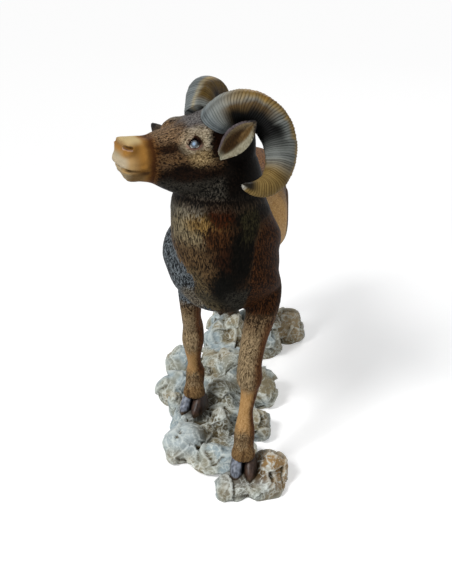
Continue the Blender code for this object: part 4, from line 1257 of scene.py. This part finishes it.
def buildHoof(name, tip, heading, ground, seed):
    mesh = bmesh.new()
    turn = frameAlong(heading)
    length, width, height = hoof["length"], hoof["width"], hoof["height"]
    base = Vector((tip.x, tip.y, ground - 0.0006)) - turn.col[0] * length
    # share of the length, half width of a claw, height of its wall
    sections = finerRows([
        (0.03, 0.17, 0.55), (0.12, 0.250, 0.90), (0.30, 0.268, 1.12), (0.50, 0.268, 1.04),
        (0.68, 0.246, 0.80), (0.83, 0.190, 0.54), (0.94, 0.115, 0.32), (0.995, 0.035, 0.13)], 6)
    for side in (-1, 1):
        lean = math.radians(hoof["splay"]) * side
        rings = []
        for along, halfWidth, rise in sections:
            spread = hoof["gap"] * width * side + math.sin(lean) * length * (along - 0.3)
            centre = base + turn.col[0] * (length * along) + turn.col[1] * spread
            ring = []
            for k in range(32):
                angle = 2 * math.pi * k / 32
                cosine, sine = math.cos(angle), math.sin(angle)
                flare = 1 - 0.22 * max(sine, 0) * (1 if cosine * side > 0 else -0.25)
                out = math.copysign(abs(cosine) ** 0.75, cosine) * width * halfWidth * flare
                lift = math.copysign(abs(sine) ** 0.8, sine) * height * rise if sine > 0 else sine * 0.0012
                band = 0.00012 * math.sin(max(sine, 0) * 20)
                ring.append(centre + turn.col[1] * (out + math.copysign(band, out)) + upward * lift)
            rings.append(ring)
        skinRings(mesh, rings)
    bmesh.ops.triangulate(mesh, faces=mesh.faces)
    points, faces = pointsOf(mesh)
    edges = edgesOf(faces, len(points))
    offset = (points - np.array(base)) @ np.array(turn)
    across, above = offset[:, 1] / width, (points[:, 2] - ground) / height
    streak = wander(points * (1, 1, 0.25), 0.0012, 2, seed)
    tip = np.clip(0.5 + streak * 0.9, 0, 1)
    paint = startPaint(len(points), (30, 20, 16), (66, 48, 38))
    washInTurn(paint, 1, [
        # the claw on the -X side is painted pale slate and the one on the +X side dark brown: painted light and shade
        # from the key lamp's side, over the hoof's dark paint
        (smoothStep(0.05, -0.10, across), (70, 74, 82), (128, 134, 146)),
        (smoothStep(0.28, 0.46, across), (22, 12, 8), (50, 34, 26)),
        (smoothStep(-0.40, -0.50, across), (54, 54, 58), (104, 108, 118)),
        (smoothStep(0.10, 0.03, np.abs(across)), (4, 3, 3), (8, 6, 6)),
        (smoothStep(0.16, 0.02, above), (32, 24, 18), (70, 56, 42)),
    ])
    under, brush = paint
    layers = {"tip": tip, "tone": np.clip(0.5 + streak, 0, 1), "under": under, "brush": brush,
              "cavity": hollowness(points, faces, edges, 6, 0.0005)}
    return makePiece(name, points, faces, layers)


hooves = [buildHoof("hoof_" + name, tip, heading, ground, 3.1 * k)
          for k, (name, _, tip, heading, ground) in enumerate(legs)]
print("hooves built")


# Rock base: boulders with chipped faces, cracks and raised veins

rock = {
    "voxel": 0.00125, "rubs": 1, "facets": 13, "nearCut": 0.70, "farCut": 0.90,
    "chip": 0.0100, "chipLean": 0.00170, "flake": 0.0046, "flakeLean": 0.00032,
    "vein": 0.00018, "veinCell": 0.0084, "pits": 0.00008,
}
frontTop, middleTop, backTop = leg["frontGround"], leg["middleGround"], leg["backGround"]
# x, y, half length in x and in y, and the height of the top
boulders = [
    (0.0000, -0.0560, 0.0220, 0.0180, frontTop * 0.95), (-0.0080, -0.0220, 0.0270, 0.0240, middleTop * 0.72),
    (-0.0090, 0.0120, 0.0260, 0.0250, middleTop * 0.78), (-0.0100, 0.0450, 0.0220, 0.0260, middleTop * 0.85),
    (0.0000, 0.0780, 0.0260, 0.0220, backTop * 0.55), (0.0130, -0.0810, 0.0130, 0.0120, frontTop),
    (0.0080, -0.0865, 0.0075, 0.0070, frontTop * 0.86), (0.0280, -0.0700, 0.0110, 0.0120, frontTop * 1.70),
    (0.0270, -0.0790, 0.0130, 0.0120, frontTop * 1.05), (0.0060, -0.0640, 0.0100, 0.0110, frontTop * 1.10),
    (-0.0200, -0.0540, 0.0135, 0.0145, middleTop * 1.16), (-0.0020, -0.0610, 0.0090, 0.0085, middleTop * 0.96),
    (-0.0030, -0.0360, 0.0072, 0.0072, middleTop * 1.20), (0.0172, -0.0310, 0.0108, 0.0120, middleTop * 1.12),
    (-0.0200, -0.0300, 0.0150, 0.0140, middleTop * 0.98), (0.0160, 0.0070, 0.0115, 0.0150, middleTop * 1.32),
    (-0.0065, -0.0090, 0.0130, 0.0160, middleTop * 1.42), (-0.0355, 0.0000, 0.0125, 0.0135, middleTop * 1.12),
    (-0.0310, -0.0200, 0.0060, 0.0055, middleTop * 1.18), (-0.0370, 0.0310, 0.0120, 0.0140, middleTop * 1.18),
    (-0.0080, 0.0330, 0.0170, 0.0200, middleTop * 1.35), (-0.0210, 0.0630, 0.0105, 0.0120, backTop * 0.90),
    (-0.0065, 0.0660, 0.0105, 0.0110, backTop * 1.02), (0.0120, 0.0700, 0.0120, 0.0150, backTop * 0.98),
    (-0.0150, 0.0790, 0.0140, 0.0150, backTop * 0.98), (0.0255, 0.0910, 0.0165, 0.0125, backTop * 0.84),
    (0.0020, 0.0900, 0.0150, 0.0120, backTop * 0.80),
]


def addBoulder(mesh, centre, radii, facets, seed):
    dice = random.Random(seed)
    place = Matrix.Translation(centre) @ Matrix.Diagonal((*radii, 1.0))
    made = bmesh.ops.create_icosphere(mesh, subdivisions=4, radius=1.0)["verts"]
    for _ in range(facets):
        outward = Vector((dice.gauss(0, 1), dice.gauss(0, 1), dice.gauss(0, 0.7))).normalized()
        reach = dice.uniform(rock["nearCut"], rock["farCut"])
        for vert in made:
            over = vert.co.dot(outward) - reach
            if over > 0:
                vert.co -= outward * over
    for vert in made:
        vert.co = place @ vert.co


def cellEdges(points, size, seed):
    # distance to the nearest border between cells, in cell sizes
    gap = np.empty(len(points))
    shift = Vector((seed, seed * 0.7, seed * 1.3))
    for k, point in enumerate(points):
        sample = Vector(point) / size + shift
        sample += noise.noise_vector(sample * 1.7) * 0.45
        distances = noise.voronoi(sample)[0]
        gap[k] = distances[1] - distances[0]
    return gap


def chips(points, size, seed):
    # each cell is a flat chip that leans its own way, so that its borders are sharp
    lean = np.empty(len(points))
    shift = Vector((seed, seed * 0.7, seed * 1.3))
    for k, point in enumerate(points):
        sample = Vector(point) / size + shift
        centre = noise.voronoi(sample)[1][0]
        way = Vector((math.sin(centre.x * 91.7 + centre.y * 47.3), math.sin(centre.y * 73.1 + centre.z * 59.9),
                      math.sin(centre.z * 83.3 + centre.x * 31.7)))
        lean[k] = (sample - centre).dot(way) + 0.35 * math.sin(centre.x * 17.0 + centre.z * 29.0)
    return lean


def buildRocks():
    mesh = bmesh.new()
    for index, (x, y, halfX, halfY, top) in enumerate(boulders):
        addBoulder(mesh, Vector((x, y, top * 0.35)), (halfX, halfY, top * 0.65 + 0.0005), rock["facets"], 40 + index)
    for _, _, tip, _, ground in legs:
        pad = Vector((tip.x, tip.y + leg["hoofLength"] * 0.55, ground - 0.0050))
        addBall(mesh, pad, (leg["hoofWidth"] * 0.72, leg["hoofLength"] * 0.72, 0.0054))
    lump = fuse(mesh, rock["voxel"], rock["rubs"], 0)
    mesh = bmesh.new()
    mesh.from_mesh(lump)
    every = list(mesh.verts) + list(mesh.edges) + list(mesh.faces)
    bmesh.ops.bisect_plane(mesh, geom=every, plane_co=(0, 0, 0), plane_no=(0, 0, -1), clear_outer=True)
    bmesh.ops.remove_doubles(mesh, verts=mesh.verts, dist=0.0001)
    points, faces = surfaceOf(fuse(mesh, 0, 0, 1))
    edges = edgesOf(faces, len(points))
    normals = pointNormals(points, faces)
    places = points.tolist()
    gap = cellEdges(places, rock["veinCell"], 3.0)
    broad = wander(points, 0.016, 2, 5.0)
    rough = wander(points, 0.0028, 3, 2.0)
    seam = np.abs(wander(points, 0.0125, 3, 8.0))
    patch = smoothStep(-0.15, 0.25, wander(points, 0.011, 2, 12.0))
    raised = np.maximum(smoothStep(0.09, 0.02, gap) * patch, smoothStep(0.040, 0.010, seam) * 0.8)
    foot = smoothStep(0.0002, 0.0020, points[:, 2])
    lift = raised * rock["vein"] + rough * rock["pits"] + (broad - 0.25) * 0.0005
    lift += (chips(places, rock["chip"], 3.0) * rock["chipLean"]
             + chips(places, rock["flake"], 7.0) * rock["flakeLean"])
    level = np.ones(len(points))
    for _, _, tip, _, ground in legs:
        away = np.hypot(points[:, 0] - tip.x, points[:, 1] - tip.y - leg["hoofLength"] * 0.5)
        level = np.minimum(level, smoothStep(0.0060, 0.0105, away))
    shaped = points + normals * (lift * foot * level)[:, None]
    shaped = np.clip(shaped, np.array(cadLow), np.array(cadHigh))
    cavity = hollowness(shaped, faces, edges, 40, 0.0020)
    edge = hollowness(shaped, faces, edges, 5, 0.00032)
    spot = points / mm
    paint = startPaint(len(points), (98, 98, 86), (168, 172, 162))
    washInTurn(paint, 1, [
        (smoothStep(-0.05, 0.25, broad), (92, 82, 58), (156, 146, 120)),
        (smoothStep(0.0, -0.30, broad), (96, 108, 112), (176, 190, 194)),
        (within(spot, (-8, -15, 15), (16, 26, 12), 0.4) * 0.7, (62, 58, 40), (128, 124, 104)),
    ])
    dabInTurn(paint, 1, spot, [
        ((30, -72, 8), (15, 14, 12), 0.4, (108, 78, 40), (168, 138, 94)),
        ((12, -84, 4), (10, 8, 9), 0.4, (84, 82, 74), (152, 150, 140)),
        ((-20, -54, 12), (13, 13, 12), 0.4, (120, 128, 128), (186, 196, 198)),
        ((25, 85, 14), (22, 20, 14), 0.4, (112, 92, 62), (178, 162, 132)),
        ((-4, -45, 14), (15, 13, 8), 0.5, (62, 54, 36), (112, 102, 78)),
    ])
    # the olive wash in the hollows is the rocks' own paint; the near black in the deepest hollows between boulders is
    # painted shade
    washInTurn(paint, 1, [
        (smoothStep(0.56, 0.72, cavity), (60, 50, 30), (108, 96, 68)),
        (smoothStep(0.72, 0.90, cavity), (18, 13, 7), (46, 37, 22)),
    ])
    # painted shadow: a dark patch on the rock round each hoof
    for _, _, toe, _, ground in legs:
        pad = (toe.x / mm + 3, toe.y / mm + 9, ground / mm)
        dabInTurn(paint, 0.85, spot, [(pad, (12, 12, 4.5), 0.5, (20, 14, 9), (70, 56, 38))])
    crest = smoothStep(0.44, 0.26, edge)
    worn = np.clip(raised * 0.50 + crest * 0.42, 0, 1) * smoothStep(0.85, 0.6, cavity)
    washOver(paint, worn, (176, 182, 174), (208, 213, 208))
    under, brush = paint
    # the brush colour reaches further on faces turned upwards: painted light from above, darker sides below
    facing = pointNormals(shaped, faces)[:, 2]
    tip = np.clip(0.45 + 0.5 * crest + rough * 0.30 - broad * 0.25 + 0.35 * (facing - 0.45), 0, 1)
    layers = {"tip": tip, "tone": np.clip(0.5 + 0.6 * broad, 0, 1), "under": under, "brush": brush, "cavity": cavity}
    shaped, faces = closeFlat(shaped, faces)
    print("rock_base", len(faces), "triangles")
    return makePiece("rock_base", shaped, faces, layers)


def closeFlat(points, faces):
    # a flat underside, filled loop by loop
    loops = openRim(faces)[1]
    points = points.copy()
    points[[k for loop in loops for k in loop], 2] = 0
    mesh = bmesh.new()
    added = []
    for loop in loops:
        verts = [mesh.verts.new(points[k]) for k in reversed(loop)]
        sole = mesh.faces.new(verts)
        filled = bmesh.ops.triangulate(mesh, faces=[sole])["faces"]
        number = dict(zip(verts, reversed(loop)))
        added += [[number[vert] for vert in tri.verts] for tri in filled]
        bmesh.ops.delete(mesh, geom=verts, context="VERTS")
    mesh.free()
    return points, np.vstack([faces, added])


rocks = buildRocks()
print("rocks built")


# Paint: shader groups shared by the materials

def newGroup(name, inputs, outputs):
    group = bpy.data.node_groups.new(name, "ShaderNodeTree")
    for socketName, kind, value in inputs:
        socket = group.interface.new_socket(socketName, in_out="INPUT", socket_type=kind)
        if value is not None:
            socket.default_value = value
    for socketName, kind in outputs:
        group.interface.new_socket(socketName, in_out="OUTPUT", socket_type=kind)
    enter, leave = group.nodes.new("NodeGroupInput"), group.nodes.new("NodeGroupOutput")
    return group, enter, leave


def newNode(tree, kind, inputs, **settings):
    # a node with its settings made, then each input set to a value or linked to a socket
    node = tree.nodes.new("ShaderNode" + kind)
    for key, value in settings.items():
        setattr(node, key, value)
    for key, value in inputs.items():
        if isinstance(value, bpy.types.NodeSocket):
            tree.links.new(value, node.inputs[key])
        else:
            node.inputs[key].default_value = value
    return node


def mathNode(tree, operation, one, two, clamp=False):
    return newNode(tree, "Math", {0: one, 1: two}, operation=operation, use_clamp=clamp).outputs[0]


def mixColour(tree, mode, factor, one, two):
    return newNode(tree, "Mix", {0: factor, 6: one, 7: two}, data_type="RGBA", blend_type=mode).outputs[2]


def noiseOn(tree, place, scale, detail):
    return newNode(tree, "TexNoise", {"Detail": detail, "Vector": place, "Scale": scale}).outputs["Fac"]


def awayFromHalf(tree, value, times):
    return mathNode(tree, "MULTIPLY", mathNode(tree, "SUBTRACT", value, 0.5), times)


def objectPlace(tree):
    return newNode(tree, "TexCoord", {}).outputs["Object"]


def makeDrybrush():
    # light paint dragged over the raised strands, veins or rings, with painted shade that darkens the hollows
    floats = (("Tip", 0.5), ("Tone", 0.5), ("Cavity", 0.5), ("Coverage", 0.5), ("Softness", 0.25), ("Break Up", 0.3),
              ("Grain Scale", 900.0), ("Hollow Shade", 0.5), ("Unlike", 0.2))
    tree, enter, leave = newGroup(
        "dryBrush", [("Under", "NodeSocketColor", None), ("Brush", "NodeSocketColor", None)]
        + [(name, "NodeSocketFloat", value) for name, value in floats] + [("Place", "NodeSocketVector", None)],
        [("Color", "NodeSocketColor"), ("Mask", "NodeSocketFloat")])
    given = enter.outputs
    grain = noiseOn(tree, given["Place"], given["Grain Scale"], 2.0)
    stray = awayFromHalf(tree, grain, given["Break Up"])
    sway = awayFromHalf(tree, given["Tone"], given["Unlike"])
    level = mathNode(tree, "ADD", mathNode(tree, "ADD", given["Tip"], stray), sway)
    level = mathNode(tree, "SUBTRACT", level, mathNode(tree, "SUBTRACT", 1.0, given["Coverage"]))
    ramp = mathNode(tree, "DIVIDE", level, given["Softness"])
    mask = mathNode(tree, "ADD", mathNode(tree, "MULTIPLY", ramp, 0.5), 0.5, clamp=True)
    colour = mixColour(tree, "MIX", mask, given["Under"], given["Brush"])
    # painted shade: the colour is darkened in the hollows, scaled by the cavity value
    deep = mathNode(tree, "MULTIPLY", mathNode(tree, "SUBTRACT", given["Cavity"], 0.5), 2.0, clamp=True)
    deep = mathNode(tree, "MULTIPLY", deep, given["Hollow Shade"], clamp=True)
    tree.links.new(mixColour(tree, "MULTIPLY", deep, colour, (0.12, 0.09, 0.07, 1)), leave.inputs["Color"])
    tree.links.new(mask, leave.inputs["Mask"])
    return tree


def makeGrain():
    # fine unevenness of cast resin under acrylic paint
    tree, enter, leave = newGroup("castGrain", [
        ("Scale", "NodeSocketFloat", 1600.0), ("Roughness", "NodeSocketFloat", 0.5),
        ("Spread", "NodeSocketFloat", 0.15)],
        [("Height", "NodeSocketFloat"), ("Roughness", "NodeSocketFloat"), ("Speckle", "NodeSocketFloat")])
    coord = objectPlace(tree)
    grain = noiseOn(tree, coord, enter.outputs["Scale"], 3.0)
    cloud = noiseOn(tree, coord, 160.0, 3.0)
    sway = awayFromHalf(tree, cloud, enter.outputs["Spread"])
    tree.links.new(grain, leave.inputs["Height"])
    tree.links.new(mathNode(tree, "ADD", enter.outputs["Roughness"], sway), leave.inputs["Roughness"])
    tree.links.new(cloud, leave.inputs["Speckle"])
    return tree


def makeVeins():
    # thin wandering lines of light paint between angular patches
    tree, enter, leave = newGroup("paintVeins", [
        ("Scale", "NodeSocketFloat", 200.0), ("Width", "NodeSocketFloat", 0.05),
        ("Patch Scale", "NodeSocketFloat", 90.0)], [("Mask", "NodeSocketFloat")])
    coord = objectPlace(tree)
    bend = newNode(tree, "TexNoise", {"Scale": 330.0, "Vector": coord}).outputs["Color"]
    shift = newNode(tree, "VectorMath", {0: bend, 1: (0.0042, 0.0042, 0.0042), 2: coord}, operation="MULTIPLY_ADD")
    cells = newNode(tree, "TexVoronoi", {"Vector": shift.outputs[0], "Scale": enter.outputs["Scale"]},
                    feature="DISTANCE_TO_EDGE")
    thin = mathNode(tree, "DIVIDE", cells.outputs["Distance"], enter.outputs["Width"])
    thin = mathNode(tree, "SUBTRACT", 1.0, thin, clamp=True)
    patch = noiseOn(tree, coord, enter.outputs["Patch Scale"], 2.0)
    patch = mathNode(tree, "MULTIPLY", mathNode(tree, "SUBTRACT", patch, 0.46), 9.0, clamp=True)
    tree.links.new(mathNode(tree, "MULTIPLY", thin, patch, clamp=True), leave.inputs["Mask"])
    return tree


dryBrush, castGrain, paintVeins = makeDrybrush(), makeGrain(), makeVeins()
noseAngle = math.atan2(noseward.y, noseward.x)
# brushing, then the turn and stretch of the strokes, and the shader's own values
brushKeys = ("Coverage", "Softness", "Break Up", "Grain Scale", "Hollow Shade", "Unlike")
finishKeys = brushKeys + ("combTurn", "combStretch", "roughness", "bump", "specular")
finishes = {
    "paintedHead": (0.45, 0.44, 1.45, 2300, 0.85, 0.10, noseAngle, (2.2, 1, 1), 0.55, 0.00006, 0.03),
    "paintedMane": (0.42, 0.28, 1.70, 2100, 0.90, 0.14, 0, (1, 1, 5), 0.55, 0.00006, 0.03),
    "paintedFlank": (0.46, 0.34, 1.60, 2100, 0.85, 0.08, 0, (1, 4, 1.5), 0.55, 0.00006, 0.03),
    "paintedLeg": (0.47, 0.46, 1.60, 2100, 0.85, 0.06, 0, (1, 1, 5), 0.55, 0.00006, 0.03),
    "paintedEar": (0.50, 0.50, 1.60, 2200, 0.80, 0.10, 0, (1, 1, 3), 0.55, 0.00005, 0.04),
    "paintedHorn": (0.56, 0.50, 0.40, 900, 0.90, 0.50, 0, (1, 1, 1), 0.50, 0.00004, 0.05),
    "paintedHoof": (0.55, 0.60, 0.40, 900, 0.70, 0.50, 0, (1, 1, 4), 0.38, 0.00004, 0.18),
    "paintedRock": (0.52, 0.85, 0.55, 420, 0.95, 0.50, 0, (1, 1, 1), 0.60, 0.00010, 0.08),
    "paintedEye": (0.50, 1.00, 0.00, 900, 0.00, 0.00, 0, (1, 1, 1), 0.12, 0.0, 0.4),
}
veinPaint = {"strength": 0.55, "colour": (0.62, 0.65, 0.61, 1),
             "nets": ({"Scale": 120.0, "Width": 0.035, "Patch Scale": 60.0},
                      {"Scale": 300.0, "Width": 0.050, "Patch Scale": 110.0})}


def makePaint(name):
    values = dict(zip(finishKeys, finishes[name]))
    material = bpy.data.materials.new(name)
    material.use_nodes = True
    tree = material.node_tree
    shader = tree.nodes["Principled BSDF"]
    # the strokes are drawn out along the hair
    comb = newNode(tree, "Mapping", {}, vector_type="TEXTURE")
    comb.inputs["Rotation"].default_value = (0, 0, values["combTurn"])
    comb.inputs["Scale"].default_value = values["combStretch"]
    tree.links.new(objectPlace(tree), comb.inputs["Vector"])
    brushing = newNode(tree, "Group", {}, node_tree=dryBrush)
    for key in brushKeys:
        brushing.inputs[key].default_value = values[key]
    for key in ("Under", "Brush", "Tip", "Tone", "Cavity"):
        source = newNode(tree, "Attribute", {}, attribute_name=key.lower())
        tree.links.new(source.outputs["Color" if key in ("Under", "Brush") else "Fac"], brushing.inputs[key])
    tree.links.new(comb.outputs["Vector"], brushing.inputs["Place"])
    colour = brushing.outputs["Color"]
    if name == "paintedRock":
        for net in veinPaint["nets"]:
            veins = newNode(tree, "Group", {}, node_tree=paintVeins)
            for key, value in net.items():
                veins.inputs[key].default_value = value
            strength = mathNode(tree, "MULTIPLY", veins.outputs["Mask"], veinPaint["strength"])
            colour = mixColour(tree, "MIX", strength, colour, veinPaint["colour"])
    tree.links.new(colour, shader.inputs["Base Color"])
    grain = newNode(tree, "Group", {}, node_tree=castGrain)
    grain.inputs["Roughness"].default_value = values["roughness"]
    tree.links.new(grain.outputs["Roughness"], shader.inputs["Roughness"])
    if values["bump"]:
        bump = newNode(tree, "Bump", {"Distance": values["bump"], "Height": grain.outputs["Height"]})
        tree.links.new(bump.outputs["Normal"], shader.inputs["Normal"])
    shader.inputs["Specular IOR Level"].default_value = values["specular"]
    if name == "paintedEye":
        shader.inputs["Coat Weight"].default_value = 1.0
        shader.inputs["Coat Roughness"].default_value = 0.06
    return material


paints = {name: makePaint(name) for name in finishes}
paintOf = {"head": "paintedHead", "neck_mane": "paintedMane", "trunk": "paintedFlank", "rump": "paintedFlank"}
for piece in furPieces:
    piece.data.materials.append(paints[paintOf.get(piece.name, "paintedLeg")])
for pieces, name in ((ears, "paintedEar"), (horns, "paintedHorn"), (hooves, "paintedHoof"),
                     ([rocks], "paintedRock"), (eyes, "paintedEye")):
    for piece in pieces:
        piece.data.materials.append(paints[name])


# Floor, light and camera

stage = {"floorRadius": 6.0, "floorDrop": 0.0002, "floorGrey": 0.80, "floorGlow": 0.36,
         "fadeFrom": 0.13, "fadeTo": 0.42,
         "skyStrength": 0.30, "skyColour": (0.96, 0.98, 1.0, 1)}
# place, aim, size and power of each lamp
lamps = {
    "key": ((-0.55, -0.75, 0.95), (0, -0.02, 0.10), 0.45, 15.0),
    "fill": ((0.80, -0.60, 0.45), (0, 0, 0.10), 0.6, 1.4),
    "back": ((0.2, 0.9, 0.7), (0, 0, 0.12), 0.5, 3.0),
}


def seenDirectly(tree):
    # 1 where the background is seen, 0 where it lights something
    path = newNode(tree, "LightPath", {}).outputs
    total = mathNode(tree, "MAXIMUM", path["Is Camera Ray"], path["Is Glossy Ray"])
    return mathNode(tree, "MAXIMUM", total, path["Is Transmission Ray"])


def showTo(tree, unseen, seen, ending):
    # one shader for light that falls on things, another for what the camera sees
    choice = newNode(tree, "MixShader", {"Fac": seenDirectly(tree), 1: unseen, 2: seen})
    tree.links.new(choice.outputs[0], tree.nodes[ending].inputs["Surface"])


floorMesh = bmesh.new()
bmesh.ops.create_circle(floorMesh, cap_ends=True, segments=96, radius=stage["floorRadius"])
floorData = bpy.data.meshes.new("floor")
floorMesh.to_mesh(floorData)
floorMesh.free()
floor = bpy.data.objects.new("floor", floorData)
floor.location = (0, 0, -stage["floorDrop"])
bpy.context.scene.collection.objects.link(floor)
floor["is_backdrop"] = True
floorPaint = bpy.data.materials.new("paleFloor")
floorPaint.use_nodes = True
floorData.materials.append(floorPaint)
floorTree = floorPaint.node_tree
matt = floorTree.nodes["Principled BSDF"]
matt.inputs["Base Color"].default_value = (stage["floorGrey"],) * 3 + (1,)
matt.inputs["Roughness"].default_value = 0.9
matt.inputs["Specular IOR Level"].default_value = 0.1
# the floor fades to plain white away from the object, and keeps its shadow nearby
glow = newNode(floorTree, "Emission", {"Strength": stage["floorGlow"]})
white = newNode(floorTree, "Emission", {})
near = newNode(floorTree, "AddShader", {0: matt.outputs[0], 1: glow.outputs[0]})
reach = newNode(floorTree, "VectorMath", {0: objectPlace(floorTree)}, operation="LENGTH")
fade = mathNode(floorTree, "SUBTRACT", reach.outputs["Value"], stage["fadeFrom"])
fade = mathNode(floorTree, "DIVIDE", fade, stage["fadeTo"] - stage["fadeFrom"], clamp=True)
fade = mathNode(floorTree, "SMOOTH_MIN", fade, 1.0)
faded = newNode(floorTree, "MixShader", {"Fac": fade, 1: near.outputs[0], 2: white.outputs[0]})
showTo(floorTree, matt.outputs[0], faded.outputs[0], "Material Output")

studio = bpy.data.worlds.new("studio")
bpy.context.scene.world = studio
studio.use_nodes = True
sky = studio.node_tree.nodes["Background"]
sky.inputs["Color"].default_value = stage["skyColour"]
sky.inputs["Strength"].default_value = stage["skyStrength"]
backdrop = newNode(studio.node_tree, "Background", {"Color": (1, 1, 1, 1)})
showTo(studio.node_tree, sky.outputs[0], backdrop.outputs[0], "World Output")
for name, (place, aim, size, power) in lamps.items():
    data = bpy.data.lights.new(name, "AREA")
    data.shape = "DISK"
    data.size = size
    data.energy = power
    lamp = bpy.data.objects.new(name, data)
    bpy.context.scene.collection.objects.link(lamp)
    lamp.location = place
    lamp.rotation_euler = (Vector(aim) - Vector(place)).to_track_quat("-Z", "Y").to_euler()

view = {"azimuth": math.radians(8), "elevation": math.radians(25), "distance": 0.400,
        "target": Vector((0.004, -0.062, 0.105)), "lens": 50, "sensor": 36}
camera = bpy.data.objects.new("camera", bpy.data.cameras.new("camera"))
bpy.context.scene.collection.objects.link(camera)
awayFrom = Vector((math.sin(view["azimuth"]) * math.cos(view["elevation"]),
                   -math.cos(view["azimuth"]) * math.cos(view["elevation"]), math.sin(view["elevation"])))
rightward = Vector((math.cos(view["azimuth"]), math.sin(view["azimuth"]), 0))
camera.matrix_world = (Matrix.Translation(view["target"] + awayFrom * view["distance"])
                       @ Matrix((rightward, awayFrom.cross(rightward), awayFrom)).transposed().to_4x4())
camera.data.lens = view["lens"]
camera.data.sensor_fit = "VERTICAL"
camera.data.sensor_height = view["sensor"]
camera.data.clip_start = 0.01
bpy.context.scene.camera = camera
bpy.context.scene.view_settings.view_transform = "Standard"

low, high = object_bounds()
print("scene ready")
